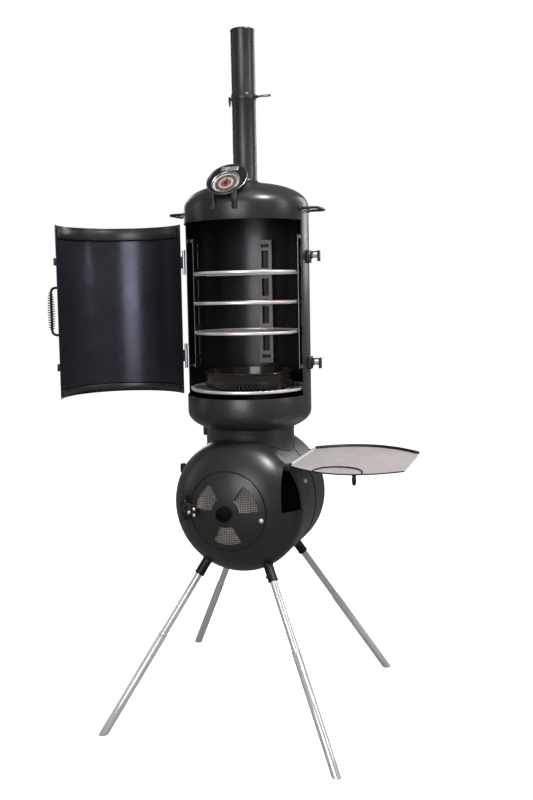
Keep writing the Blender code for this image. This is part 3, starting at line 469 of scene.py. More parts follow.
def rounded_path(corners, radius, steps=8):
    """A line through these corners, each rounded off."""
    corners = [Vector(c) for c in corners]
    path = [corners[0]]
    for before, here, after in zip(corners, corners[1:], corners[2:]):
        a, b = here + (before - here).normalized() * radius, here + (after - here).normalized() * radius
        for i in range(steps + 1):
            t = i / steps
            path.append(a * (1 - t) ** 2 + here * 2 * t * (1 - t) + b * t**2)
    return path + [corners[-1]]


def grid(rows, skip=None, wrap=False):
    """A sheet from rows of points, leaving out the cells that skip(row, column) names."""
    bm = bmesh.new()
    verts = [[bm.verts.new(p) for p in row] for row in rows]
    width = len(rows[0])
    for i in range(len(rows) - 1):
        for j in range(width if wrap else width - 1):
            if skip and skip(i, j):
                continue
            k = (j + 1) % width
            bm.faces.new((verts[i][j], verts[i][k], verts[i + 1][k], verts[i + 1][j]))
    bmesh.ops.delete(bm, geom=[v for v in bm.verts if not v.link_faces], context="VERTS")
    return bm


def screw(at, direction, radius, height, hexagon=False):
    """A bolt or screw head: a domed button with a socket, or a hexagon head on a washer."""
    if hexagon:
        washer = lathe([(0, 0), (radius * 1.35, 0), (radius * 1.35, 0.0008), (0, 0.0008)], 24)
        head = lathe([(0, 0.0008), (radius, 0.0008), (radius, height * 0.8), (radius * 0.86, height),
                      (0, height)], 6)
        bm = joined(washer, head)
    else:
        bm = lathe([(0, 0), (radius, 0), (radius, height * 0.35), (radius * 0.86, height * 0.78),
                    (radius * 0.62, height), (radius * 0.45, height), (radius * 0.40, height * 0.45),
                    (0, height * 0.40)], 24)
    return moved(bm, along(at, Vector(at) + Vector(direction)))


# ---- firebox barrel and legs

FACE_FRONT = shift(0, 0, BARREL_Z) @ Matrix.Rotation(pi / 2, 4, "X")


def dome_front(radius, inset=0.0):
    """How far forward the barrel's dome reaches at this radius."""
    return BARREL_STRAIGHT + (BARREL_DOME - inset) * sqrt(max(1 - (radius / (BARREL_R - inset)) ** 2, 0))


def barrel_profile(inset, start, groove):
    """(radius, forward) from the round front opening to the back pole."""
    first = asin(start / (BARREL_R - inset))
    skin = []
    for i in range(37):
        t = first + (pi / 2 - first) * i / 36
        skin.append(((BARREL_R - inset) * sin(t), BARREL_STRAIGHT + (BARREL_DOME - inset) * cos(t)))
    r = BARREL_R - inset
    if groove:
        skin += off(r, -SEAM_Y, (0, 4.2), (-0.4, 3.6), (-2.6, 3.0), (-2.6, -0.6), (0.4, -1.0), (1.0, -1.8))
        r += 0.0010
    else:
        skin += [(r, -SEAM_Y)]
    for i in range(37):
        t = pi / 2 * i / 36
        radius = r * cos(t)
        skin.append((radius if i < 36 else 0.0, -BARREL_STRAIGHT - (BARREL_DOME - inset) * sin(t)))
    return skin


def barrel_height(x, y):
    """Height of the barrel's skin above a point of the floor plan."""
    over = max(abs(y) - BARREL_STRAIGHT, 0) / BARREL_DOME
    radius = BARREL_R * sqrt(max(1 - over**2, 0))
    return BARREL_Z + sqrt(max(radius**2 - x**2, 0))


def build_barrel():
    outer = barrel_profile(0, HOLE_R, True)
    inner = barrel_profile(BARREL_WALL, HOLE_R + 0.004, False)
    stop = dome_front(DOOR_DISC_R, BARREL_WALL) - 0.0022
    lip = [(HOLE_R + 0.002, stop - 0.003), (0.101, stop - 0.003), (0.101, stop), (HOLE_R, stop)]
    shell = lathe(outer + inner[::-1][:-1] + lip, BARREL_STEPS, FACE_FRONT, True)
    top = round_rod(COLLAR_R - 0.003, 0.2, 0.001, 96, shift(0, 0, 0.66))
    corner = shift(PORT_X, PORT_REAR_Y, BARREL_Z)
    port = block((0.12, 0.14, PORT_TOP_Z - BARREL_Z), 0.004, corner @ Matrix.Rotation(-PORT_LEAN, 4, "Y") @
                 shift(0.06, -0.07, (PORT_TOP_Z - BARREL_Z) / 2), 3)
    slit = block((0.0330, 0.09, 0.0011), 0.0002, shift(PORT_X - 0.0165, -0.19, BARREL_Z), 1)
    piece("barrel", carved(shell, [top, port, slit]), "stove", PAINT, "barrel_shell", sharp=32)
    azimuths = [tau * k / BARREL_STEPS for k in range(BARREL_STEPS)]
    bead = []
    for a in azimuths:
        p = polar(COLLAR_R + 0.0005, a)
        ripple = 0.0003 * sin(a * BARREL_STEPS / 2)
        bead.append((p.x, p.y, barrel_height(p.x, p.y) + 0.0008 + ripple))
    piece("collar_weld", wires([bead], 0.0026, 8, True), "stove", PAINT)
    rows = []
    for share in (0.0, 0.25, 0.5, 0.75, 0.94, 1.0):
        row = []
        for a in azimuths:
            r = COLLAR_R + (0.0008 if share > 0.9 else 0.0)
            p = polar(r, a)
            low = barrel_height(p.x, p.y) - 0.001
            row.append((p.x, p.y, low + (COLLAR_TOP - low) * share))
        rows.append(row[::-1])
    piece("collar", grid(rows, wrap=True), "stove", PAINT, "collar_ring", solid=0.0028, bevel=0.0005)
    lug = block((0.010, 0.012, 0.026), 0.0022, Matrix.Rotation(COLLAR_LUG_AZ, 4, "Z") @
                shift(0, -COLLAR_R - 0.0035, COLLAR_LUG_Z))
    bolt_at = polar(COLLAR_R + 0.0078, COLLAR_LUG_AZ, COLLAR_LUG_Z)
    bolt = screw(bolt_at, polar(1, COLLAR_LUG_AZ), 0.0032, 0.0014)
    piece("collar_lug", joined(lug, bolt), "stove", TRIM)


def build_carry_lug():
    out = Vector((-cos(LUG_RISE), 0, sin(LUG_RISE)))
    lay = Matrix.Translation(Vector((0, LUG_Y, BARREL_Z)) + out * (BARREL_R + 0.0075))
    body = block((0.0150, 0.0140, 0.0270), 0.0048, lay, 4)
    weld = ring(Vector((-0.0035, LUG_Y, BARREL_Z)) + out * (BARREL_R + 0.0012), Vector((0.0060, 0, 0.0115)),
                Vector((0, 0.0078, 0)), 32)
    piece("carry_lug_block", joined(body, wires([weld], 0.0018, 8, True)), "stove", TRIM, "carry_lug")


def build_legs():
    for tag, sx, sy in (("fl", -1, -1), ("fr", 1, -1), ("rl", -1, 1), ("rr", 1, 1)):
        corner = Vector((sx, sy, 1))
        top, foot = LEG_TOP * corner, FOOT * corner
        down = (foot - top).normalized()
        side = down.cross(Vector((0, 0, 1))).normalized()
        length = (foot - top).length
        frame_at = along(top, foot)
        bore = off(LEG_UPPER_R, 0, (0.4, 4), (0.4, -22)) + off(0.004, 0, (0, -22), (0, -52))
        skin = off(SOCKET_R, 0, (0, -52), (0, -2), (0.6, 0.6), (0.6, 3.2), (-0.4, 4))
        socket = lathe(bore + skin, 32, frame_at, True)
        weld = weld_ring(top, -down)
        pinch = screw(top - down * 0.010 + side * SOCKET_R, side, 0.0034, 0.0040, True)
        piece(f"socket_{tag}", joined(socket, weld, pinch), "stove", TRIM, f"leg_socket_{tag}")
        step = length * LEG_STEP
        upper = lathe([(0, -0.0215), (LEG_UPPER_R, -0.0215), (LEG_UPPER_R, step + 0.045), (0, step + 0.045)],
                      32, frame_at)
        piece(f"upper_tube_{tag}", upper, "stove", CHROME, f"leg_upper_{tag}")
        mouth = off(LEG_UPPER_R, step, (0.3, 20), (0.3, 0.2), (0.8, 0))
        skin = off(LEG_LOWER_R, step, (-0.4, 0), (0, 0.6), (0, 6), (-0.7, 7.2), (-0.7, 8.8), (0, 10))
        end = [(LEG_LOWER_R, length), (LEG_UPPER_R, length), (LEG_UPPER_R, length - 0.02),
               (0, length - 0.02)]
        lower = lathe(mouth + skin + end, 40, frame_at)
        flatten_to_floor(lower, down, 0.015)
        spring_at = top + down * (step + 0.022)
        out = along(spring_at + side * (LEG_LOWER_R - 0.0008), spring_at + side)
        button = round_rod(0.0032, 0.0022, 0.0012, 16, out)
        piece(f"lower_tube_{tag}", joined(lower, button), "stove", CHROME, f"leg_lower_{tag}")


def flatten_to_floor(bm, down, near):
    """Slides the points this near the floor along the leg until they lie on it."""
    for v in bm.verts:
        if v.co.z < near:
            v.co += down * (v.co.z / -down.z)


def weld_ring(top, up):
    """The ripple of weld where a leg socket meets the barrel."""
    centre = Vector((0, 0, BARREL_Z))
    turn = up.to_track_quat("Z", "Y").to_matrix() * SOCKET_R
    path = []
    for start in ring(top, turn.col[0], turn.col[1], 48):
        low, high = -0.03, 0.09
        for _ in range(26):
            mid = (low + high) / 2
            p = start + up * mid - centre
            over = max(abs(p.y) - BARREL_STRAIGHT, 0) / BARREL_DOME
            inside = over < 1 and hypot(p.x, p.z) < BARREL_R * sqrt(1 - over**2)
            low, high = (low, mid) if inside else (mid, high)
        path.append(start + up * low)
    return wires([path], 0.0020, 8, True)


# ---- firebox door

def sector_outline(centre, r_in, r_out, half, soft=0.006, steps=6):
    """A wedge window with rounded corners, in the door's own plane."""
    def at(radius, angle):
        return Vector((radius * cos(angle), radius * sin(angle), 0))
    outline = []
    corners = ((r_out, centre - half, 1, 1), (r_out, centre + half, -1, 1), (r_in, centre + half, -1, -1),
               (r_in, centre - half, 1, -1))
    for n, (radius, angle, turn, side) in enumerate(corners):
        on_arc = at(radius, angle + turn * soft / radius)
        on_edge = at(radius - side * soft, angle)
        tip = at(radius, angle)
        first, last = (on_edge, on_arc) if n % 2 == 0 else (on_arc, on_edge)
        for i in range(steps + 1):
            t = i / steps
            outline.append(first * (1 - t) ** 2 + tip * 2 * t * (1 - t) + last * t**2)
        if n % 2 == 0:
            other = corners[n + 1][1]
            for i in range(1, 8):
                a = angle + turn * soft / radius + (other - angle - 2 * turn * soft / radius) * i / 8
                outline.append(at(radius, a))
    return outline


def window_cutters(r_in, r_out, half):
    """One prism for each vent window."""
    cutters = []
    for centre in VENT_ANGLES:
        outline = [p + Vector((0, 0, 0.12)) for p in sector_outline(centre, r_in, r_out, half)]
        cutters.append(moved(prism(outline, (0, 0, 0.14)), FACE_FRONT))
    return cutters


def dome_disc(start, end, inset, thickness, steps=40, edge=0.0008):
    """The profile of a sheet that follows the barrel's front dome."""
    radii = [start + (end - start) * i / steps for i in range(steps + 1)]
    outer = [(r, dome_front(r, inset)) for r in radii]
    outer[-1] = (end, dome_front(end, inset) - edge)
    outer.insert(-1, (end - edge, dome_front(end - edge, inset)))
    return outer + [(r, dome_front(r, inset + thickness)) for r in radii[::-1]]


def build_front_door():
    panel = lathe(dome_disc(0.005, DOOR_DISC_R, 0, BARREL_WALL), 144, FACE_FRONT, True)
    cutters = window_cutters(VENT_IN_R, VENT_OUT_R, VENT_HALF)
    x, z = FRONT_LATCH
    cutters.append(round_rod(0.0030, 0.06, 0.0002, 16, along((x, -0.22, z), (x, -0.1, z))))
    piece("firebox_door", carved(panel, cutters), "front_door", PAINT, "front_door_panel", sharp=32)
    disc = lathe(dome_disc(0.0042, 0.0885, 0.0042, 0.0012, 30, 0.0003), 96, FACE_FRONT, True)
    piece("vent_plate", carved(disc, window_cutters(VENT_IN_R, VENT_OUT_R, VENT_HALF + radians(1))),
          "vent", SCREEN_STEEL, "vent_disc", sharp=32)
    y = -(dome_front(0.0912, BARREL_WALL) - 0.0010) + 0.0046
    pitch, wave, paths = 0.0046, 0.00042, []
    count = int(SCREEN_R / pitch)
    for n in range(-count, count + 1):
        reach = sqrt(SCREEN_R**2 - (n * pitch) ** 2) - 0.0006
        steps = max(int(2 * reach / (pitch / 2)), 4)
        for upright in (False, True):
            path = []
            for i in range(steps + 1):
                t = -reach + 2 * reach * i / steps
                lift = wave * cos(pi * (t / pitch + n)) * (1 if upright else -1)
                a, b = (n * pitch, t) if upright else (t, n * pitch)
                path.append((a, y + lift, BARREL_Z + b))
            paths.append(path)
    rim = ring(Vector((0, y, BARREL_Z)), Vector((SCREEN_R, 0, 0)), Vector((0, 0, SCREEN_R)), 96)
    screen = wires(paths, 0.00046, 5)
    tube(screen, rim, 0.0011, 8, True)
    piece("spark_mesh", screen, "front_door", SCREEN_STEEL, "spark_screen", sharp=80)
    skin = off(0, dome_front(0), (0, 24), (6, 24.3), (7.5, 23.2), (12.5, 23.2), (15, 22.6), (17.8, 20.6),
               (19.4, 18), (19.8, 15), (19.8, 9), (19.2, 6), (16.8, 2.2), (15, 1.2), (3.8, 1.2), (3.8, -9.5),
               (0, -9.5))
    knob = lathe(skin, 96, FACE_FRONT)
    flute_knob(knob)
    piece("vent_grip", knob, "vent", KNOB, "vent_knob")
    build_front_hardware()


def flute_knob(bm):
    """Presses grip flutes into the knob's rim."""
    for v in bm.verts:
        away = Vector((v.co.x, v.co.z - BARREL_Z))
        if away.length > 0.0185:
            angle = atan2(away.y, away.x)
            away *= 1 - 0.035 * (0.5 + 0.5 * cos(angle * 18)) ** 3
            v.co.x, v.co.z = away.x, BARREL_Z + away.y


def build_front_hardware():
    x, y = FRONT_HINGE
    low, high = BARREL_Z - 0.035, BARREL_Z + 0.035
    quarter = (high - low) / 4
    lay = shift(x, y, BARREL_Z)
    frame_leaf = block((0.016, 0.0030, high - low), 0.0008, lay @ spin(-27, "Z") @
                       shift(-0.0085, -0.0012, 0))
    knuckles = [plain_rod(0.0046, a, b, x, y)
                for a, b in ((low, low + quarter - 0.0002), (high - quarter + 0.0002, high))]
    pin = round_rod(0.0021, high - low + 0.002, 0.0008, 16, shift(x, y, low - 0.001))
    piece("front_hinge_frame", joined(frame_leaf, pin, *knuckles), "stove", TRIM, "front_hinge_bracket")
    turn = lay @ spin(-21, "Z")
    leaf = block((0.042, 0.0026, 2 * quarter - 0.0008), 0.0008, turn @ shift(0.0225, -0.0024, 0))
    middle = plain_rod(0.0046, low + quarter + 0.0004, high - quarter - 0.0004, x, y)
    piece("front_hinge_door_leaf", joined(leaf, middle), "front_door", TRIM, "front_hinge_leaf")
    heads = []
    for across, up in ((0.0190, -0.007), (0.0380, 0.005), (0.0380, -0.0115)):
        at = turn @ Vector((across, -0.0037, up))
        heads.append(screw(at, turn.to_3x3() @ Vector((0, -1, 0)), 0.0046, 0.0032))
    piece("front_hinge_screws", joined(*heads), "front_door", CHROME)
    x, z = FRONT_LATCH
    head = -dome_front(hypot(x, z - BARREL_Z)) - 0.0030
    cap = lathe(off(0, 0, (0, -0.8), (6, 0), (6.2, 1.2), (6.2, 3.4), (5, 5.2), (3, 6), (0, 6.2)), 28,
                along((x, head, z), (x, head - 1, z)))
    slot = block((0.0090, 0.0014, 0.0012), 0.0002, shift(x, head - 0.0060, z), 1)
    spindle = round_rod(0.0024, abs(head) - 0.1690, 0.0004, 16, along((x, head, z), (x, 0, z)))
    cam = block((0.026, 0.0025, 0.010), 0.0006, shift(x - 0.009, -0.17025, z))
    piece("turn_latch", joined(carved(cap, [slot]), spindle, cam), "front_latch", CHROME, "front_latch")


# ---- side shelf

def shelf_half(x):
    """Half the shelf's width at this distance from the stove."""
    t = (x - SHELF_START) / (SHELF_END - SHELF_START)
    ends = SHELF_HALF_IN + (SHELF_HALF_OUT - SHELF_HALF_IN) * t
    return ends + (SHELF_HALF_MID - (SHELF_HALF_IN + SHELF_HALF_OUT) / 2) * (1 - (2 * t - 1) ** 2)


def build_shelf():
    across = [SHELF_START + (SHELF_END - SHELF_START) * i / 60 for i in range(61)]
    rows = [[(x, -shelf_half(x) + 2 * shelf_half(x) * j / 50, SHELF_TOP) for x in across] for j in range(51)]
    sheet = temporary_solid(grid(rows), SHELF_SHEET)
    hinge_x, hinge_z = SHELF_HINGE
    sleeve = off(0, 0, (2.4, -101.5), (4.2, -101.5), (4.5, -101.1), (4.5, 101.1), (4.2, 101.5), (2.4, 101.5))
    barrel = lathe(sleeve, 24, shift(hinge_x, 0, hinge_z) @ Matrix.Rotation(pi / 2, 4, "X"), True)
    piece("shelf_sheet", joined(sheet, barrel), "side_shelf", SHELF_STEEL, "shelf_plate", sharp=30)
    z = SHELF_TOP - SHELF_SHEET / 2
    near = [(x, -shelf_half(x) - 0.0014, z) for x in across]
    far = [(x, shelf_half(x) + 0.0018, z + 0.0030) for x in across]
    outer = [(SHELF_END + 0.0018, SHELF_HALF_OUT * (2 * k / 40 - 1), z) for k in range(41)]
    rim = joined(wires([near], 0.0018, 12), wires([far], 0.0052, 12))
    turns = [pi * k / 48 for k in range(49)]
    arch = [(ARCH_X + ARCH_R * cos(a), ARCH_INSET - shelf_half(ARCH_X) + ARCH_R * sin(a), SHELF_TOP + 0.0016)
            for a in turns]
    tube(rim, arch, 0.0022, 12)
    piece("shelf_edge_beads", rim, "side_shelf", TRIM, "shelf_rim")
    piece("shelf_end_hem", wires([outer], 0.0019, 12), "side_shelf", SHELF_STEEL)
    peg_y = -shelf_half(PEG_X) + 0.006
    stem = off(0, 0, (0, 0), (5.8, 0), (5.8, -3), (4.6, -4), (4.6, -7), (5.8, -9), (5.6, -14), (5, -21),
               (4.2, -25.5), (3, -26.8), (0, -26.8))
    peg = lathe(stem, 28, shift(PEG_X, peg_y, SHELF_TOP - SHELF_SHEET - 0.0003))
    piece("shelf_stop_peg", peg, "side_shelf", TRIM, "shelf_peg")
    for tag, side in (("front", -1), ("rear", 1)):
        ear = block((0.030, 0.0058, 0.020), 0.0018, shift(hinge_x - 0.0165, side * 0.107, hinge_z - 0.007))
        outwards = (hinge_x, side, hinge_z)
        eye = round_rod(0.0046, 0.0066, 0.0006, 24, along((hinge_x, side * 0.1036, hinge_z), outwards))
        pin = round_rod(0.0020, 0.014, 0.0004, 16, along((hinge_x, side * 0.0962, hinge_z), outwards))
        piece(f"shelf_ear_{tag}", joined(ear, eye, pin), "stove", TRIM, f"shelf_bracket_{tag}")
    out = Vector((cos(radians(20)), 0, sin(radians(20))))
    start = Vector((0, -0.053, BARREL_Z)) + out * BARREL_R
    piece("stay_bolt_head", screw(start, out, 0.0052, 0.0062, True), "stove", CHROME, "stay_bolt")


def temporary_solid(bm, thickness):
    obj = temporary(bm)
    thicken(obj, thickness)
    return taken_back(obj)


# ---- smoker drum

def drum_profile():
    """(radius, height) of the drum's skin from the flue hole down to the end of its spigot."""
    power = 2 / DOME_POWER
    first = asin((0.0331 / DRUM_R) ** (1 / power))
    skin = []
    for i in range(31):
        t = first + (pi / 2 - first) * i / 30
        skin.append((DRUM_R * sin(t) ** power, DRUM_HIGH + DRUM_TOP_DEPTH * max(cos(t), 0) ** power))
    skin += [(DRUM_R, z) for z in (OPEN_HIGH, 1.28, 1.20, 1.12, 1.04, 0.96, 0.90, OPEN_LOW)]
    last = acos((SPIGOT_R / DRUM_R) ** (1 / power))
    for i in range(25):
        t = last * i / 24
        skin.append((DRUM_R * cos(t) ** power, DRUM_LOW - DRUM_BASE_DEPTH * sin(t) ** power))
    return skin + [(SPIGOT_R, SPIGOT_Z + 0.010), (SPIGOT_R, SPIGOT_Z)]


def build_drum():
    profile = drum_profile()
    azimuths = [OPEN_LEFT + (OPEN_RIGHT - OPEN_LEFT) * k / 64 for k in range(65)]
    rest = tau - (OPEN_RIGHT - OPEN_LEFT)
    azimuths += [OPEN_RIGHT + rest * k / 80 for k in range(1, 80)]
    rows = [[polar(r, a, z) for a in azimuths] for r, z in profile]
    heights = [z for _, z in profile]

    def doorway(i, j):
        return j < 64 and OPEN_LOW - 1e-6 < heights[i + 1] and heights[i] < OPEN_HIGH + 1e-6

    shell = piece("drum", grid(rows, doorway, True), "smoker", PAINT, "drum_shell", solid=DRUM_WALL,
                  bevel=0.0005)
    # The drum's inward faces take the darker paint, painted shade.
    shade_inside(shell, INSIDE_SHADE_PAINT)
    for side, tag in ((-1, "left"), (1, "right")):
        corners = [(side * x, y * GRAB_HALF, GRAB_Z)
                   for x, y in ((0.166, -1), (0.212, -1), (0.212, 1), (0.166, 1))]
        bar = wires([rounded_path(corners, 0.018)], 0.0035, 16)
        fillet = off(0, 0, (3.4, 0), (6.2, 0), (4.8, 2.4), (3.5, 3.6))
        welds = [lathe(fillet, 20, along((side * 0.1655, y, GRAB_Z), (side, y, GRAB_Z)), True)
                 for y in (-GRAB_HALF, GRAB_HALF)]
        piece(f"drum_grab_{tag}", joined(bar, *welds), "smoker", TRIM, f"drum_handle_{tag}")


def shade_inside(obj, mat):
    """Gives the faces that look inwards a darker copy of the black paint: painted shade inside the drum and the
    flue.
    """
    obj.data.materials.append(mat)
    for face in obj.data.polygons:
        centre, normal = face.center - ORIGIN, face.normal
        if centre.x * normal.x + centre.y * normal.y < -0.05 * hypot(centre.x, centre.y) or (
                centre.z > DRUM_HIGH and normal.z < -0.1) or (centre.z < DRUM_LOW and normal.z > 0.1):
            face.material_index = 1


def build_inside():
    for n, (name, z) in enumerate(RACKS.items()):
        piece(f"{name}_grid", wire_rack(RACK_R, z, 0.0107, 0.0019, 0.00135, n), "smoker", RACK_WIRE, name,
              sharp=70)
    piece("bottom_grate_grid", wire_rack(GRATE_R, GRATE_Z + 0.002, 0.0130, 0.0022, 0.0017, 3), "smoker",
          RACK_WIRE, "bottom_grate", sharp=70)
    under = off(PAN_R, PAN_FLOOR, (-18, 0), (-10, 2.2), (-5.5, 7.5))
    lip = off(PAN_R, PAN_FLOOR + PAN_HEIGHT, (-3.5, -5), (-1.2, -4.2), (0, -2.6), (-0.6, -0.6), (-2.2, 0),
              (-4.4, -1), (-5.2, -4))
    within = off(PAN_R, PAN_FLOOR, (-7.2, 8), (-11.2, 3.8), (-19, 1.6))
    pan = [(0, PAN_FLOOR)] + under + lip + within + [(0, PAN_FLOOR + 0.0016)]
    piece("drip_pan", lathe(pan, 128), "smoker", ENAMEL, "water_pan")


def wire_rack(radius, z, pitch, rim, rod, seed):
    """A round rack: a hoop, close parallel rods laid across it and two bearers beneath."""
    low = off(radius, z, (-1.6, -1.8), (-0.3, -1.8), (0, -1.2))
    high = off(radius, z + HOOP_TOP, (0, -0.6), (-0.3, 0), (-1.6, 0))
    bm = lathe(low + high, 96, None, True)
    tube(bm, [polar(radius - HOOP_SHEET - rim, tau * k / 96, z) for k in range(96)], rim, 10, True)
    reach = radius - 2 * rim
    count = int((reach - 0.004) / pitch)
    for n in range(-count, count + 1):
        x = n * pitch + 0.00025 * sin(7.3 * n + seed)
        half = sqrt(reach**2 - x**2) + rim
        sag = -0.0005 - 0.0002 * sin(3.1 * n + seed)
        bend = ((-1, 0), (-0.5, 0.6), (0, 1), (0.5, 0.6), (1, 0))
        tube(bm, [(x, half * along_rod, z + sag * share) for along_rod, share in bend], rod, 8)
    for y in (-0.045, 0.045):
        half = sqrt(reach**2 - y**2) + rim
        tube(bm, [(-half, y, z - 0.0022), (half, y, z - 0.0022)], rod * 1.15, 8)
    return bm


def build_flue():
    low, high = DAMPER_Z - BEAD_HALF, DAMPER_Z + BEAD_HALF
    fillet = [(0.0440 - 0.0116 * sin(a), FLUE_BASE + 0.0008 + 0.0100 * (1 - cos(a)))
              for a in (pi / 2 * k / 8 for k in range(9))]
    bead = [(0.0336 + 0.0009 * cos(a), DAMPER_Z + BEAD_HALF * 0.92 * sin(a))
            for a in (pi * (k / 12 - 0.5) for k in range(13))]
    lower = [(0.0440, FLUE_BASE)] + fillet + [(FLUE_R, low - 0.001)] + bead + [
        (0.0336, high), (0.0302, high), (0.0302, high + 0.020), (0.0298, high + 0.022),
        (FLUE_BORE, high + 0.022), (FLUE_BORE, FLUE_BASE)]
    hole = round_rod(0.0027, 0.1, 0.0002, 16, along((-0.05, 0, DAMPER_Z), (1, 0, DAMPER_Z)))
    piece("flue_pipe_lower", carved(lathe(lower, 96, None, True), [hole]), "smoker", PAINT, "flue_lower")
    lip = off(FLUE_R, FLUE_TOP, (0, -6.2), (0.6, -5.2), (0.6, -1.2), (0, -0.2), (-0.6, 0), (-1.2, -0.2),
              (-1.6, -1))
    top = [(FLUE_R, high + 0.0004)] + lip + [(0.0308, high + 0.0004)]
    obj = piece("flue_pipe_upper", lathe(top, 96, None, True), "flue_top", PAINT, "flue_upper")
    # The flue's inward faces take the darker paint, painted shade.
    shade_inside(obj, INSIDE_SHADE_PAINT)


def build_damper():
    spindle = round_rod(0.0024, 0.0805, 0.0006, 20, along((-0.0385, 0, DAMPER_Z), (1, 0, DAMPER_Z)))
    disc = round_rod(0.0286, 0.0016, 0.0003, 64, along((0, -0.0008, DAMPER_Z), (0, 1, DAMPER_Z)))
    tag_shape = off(0, DAMPER_Z, (-6.6, 5.5), (6.6, 5.5), (7, -9), (1.2, -20.5), (-1.2, -20.5), (-7, -9))
    tag = prism([(-0.0412, y, z) for y, z in tag_shape], (0.0024, 0, 0))
    coil = [(0.0345 + 0.0055 * k / 60, 0.0036 * cos(tau * k / 12), DAMPER_Z + 0.0036 * sin(tau * k / 12))
            for k in range(61)]
    spring = wires([coil], 0.0009, 8)
    piece("damper_blade", joined(spindle, disc, tag, spring), "damper", TRIM, "damper_plate", sharp=35)
    reach = off(0, 0, (39.5, 2.6), (46, 6), (60, 8.2), (73.5, 7.4), (75.2, 0), (73.5, -7.4), (60, -8.2),
                (46, -6), (39.5, -2.6))
    loop = tube(bmesh.new(), rounded_path([(x, y, DAMPER_Z) for x, y in reach], 0.003, 4), 0.0013, 12)
    tip = round_rod(0.0024, 0.0085, 0.0008, 16, along((0.0742, -0.0042, DAMPER_Z), (0.0742, 1, DAMPER_Z)))
    piece("damper_handle_loop", joined(loop, tip), "damper", TRIM, "damper_loop")


def build_thermometer():
    lay = Matrix.Translation(DIAL_CENTRE) @ Matrix.Rotation(DIAL_TILT, 4, "X")
    edge = off(CASE_R, 0, (-4, -5), (-1, -3.2), (0, -1), (0, 2.6), (-1, 4.2), (-2.6, 5), (-4.6, 5),
               (-6, 3.8))
    dial = lay @ shift(0, -DIAL_DROP, 0)
    case = lathe([(0, -0.005)] + edge + [(0, 0.0038)], 128, lay)
    feet = []
    for side in (-1, 1):
        x = DIAL_CENTRE.x + side * 0.030
        feet.append(block((0.014, 0.0045, 0.046), 0.0016, shift(x, -0.17125, 1.384)))
        feet.append(block((0.014, 0.016, 0.0050), 0.0016, shift(x, -0.1650, 1.4045) @ spin(35, "X")))
    well = moved(round_rod(DIAL_R + 0.0008, 0.02, 0.0003, 96), dial @ shift(0, 0, 0.0013))
    piece("gauge_case", joined(carved(case, [well]), *feet), "smoker", TRIM, "thermometer_case")
    trim_r = CASE_R - 0.0016
    trim = ring(Vector((0, 0, 0.0046)), Vector((trim_r, 0, 0)), Vector((0, trim_r, 0)), 128)
    piece("gauge_rim_line", wires([[lay @ p for p in trim]], 0.0006, 8, True), "smoker", ZINC)
    face = lathe([(0, 0.0014), (DIAL_R, 0.0014), (DIAL_R, 0.0024), (DIAL_R - 0.0004, 0.0026), (0, 0.0026)],
                 96)
    piece("gauge_dial", moved(face, dial), "smoker", DIAL, "thermometer_dial")
    ticks = []
    for n in range(TICKS + 1):
        inner, width = (0.0258, 0.0007) if n % 5 == 0 else (0.0276, 0.0004)
        turn = Matrix.Rotation(radians(-225 + 270 * n / TICKS), 4, "Z")
        at = dial @ shift(0, 0, 0.00275) @ turn @ shift((TICK_END + inner) / 2, 0, 0)
        ticks.append(block((TICK_END - inner, width, 0.0003), 0.0001, at, 1))
    piece("gauge_ticks", joined(*ticks), "smoker", PLAQUE_STEEL)
    bezel = off(DIAL_R, 0, (-1.2, 4), (-0.4, 7.2), (0.6, 8), (1.8, 7.6), (2.6, 6.2), (2.8, 4))
    piece("gauge_bezel", lathe(bezel, 96, dial, True), "smoker", ZINC, "thermometer_bezel")
    plate = block((0.048, 0.0155, 0.0014), 0.0006, lay @ shift(0, 0.0370, 0.0050), 2)
    grooves = [block((0.040, 0.0012, 0.001), 0.0002, lay @ shift(0, 0.0370 + d, 0.0058), 1)
               for d in (-0.004, 0, 0.004)]
    piece("gauge_plaque", carved(plate, grooves), "smoker", PLAQUE_STEEL, "thermometer_plaque")
    outline = off(0, 0, (-1.4, -8.8), (1.4, -8.8), (1, 10), (0.3, 27.6), (-0.3, 27.6), (-1, 10))
    needle = prism([(x, y, 0.0036) for x, y in outline], (0, 0, 0.0006))
    hub = round_rod(0.0034, 0.0018, 0.0006, 24, shift(0, 0, 0.0031))
    piece("gauge_pointer", joined(needle, hub), "needle", TRIM, "thermometer_needle", place=dial)


# ---- cabinet door, hinges and latches

HINGE_POINT = polar(DOOR_HINGE_R, DOOR_HINGE_AZ)
DOOR_SWING = Matrix.Rotation(DOOR_REST, 4, "Z")
DOOR_OPEN = Matrix.Translation(HINGE_POINT) @ DOOR_SWING @ Matrix.Translation(-HINGE_POINT)


def band(inner, outer, start, end, low, high, steps):
    """A curved bar, rectangular in section, on the inside of the door."""
    rows = []
    for r, z in ((inner, low), (outer, low), (outer, high), (inner, high), (inner, low)):
        rows.append([polar(r, start + (end - start) * k / steps, z) for k in range(steps + 1)])
    bm = grid(rows)
    bmesh.ops.remove_doubles(bm, verts=bm.verts, dist=1e-6)
    bmesh.ops.holes_fill(bm, edges=[e for e in bm.edges if e.is_boundary])
    return bm


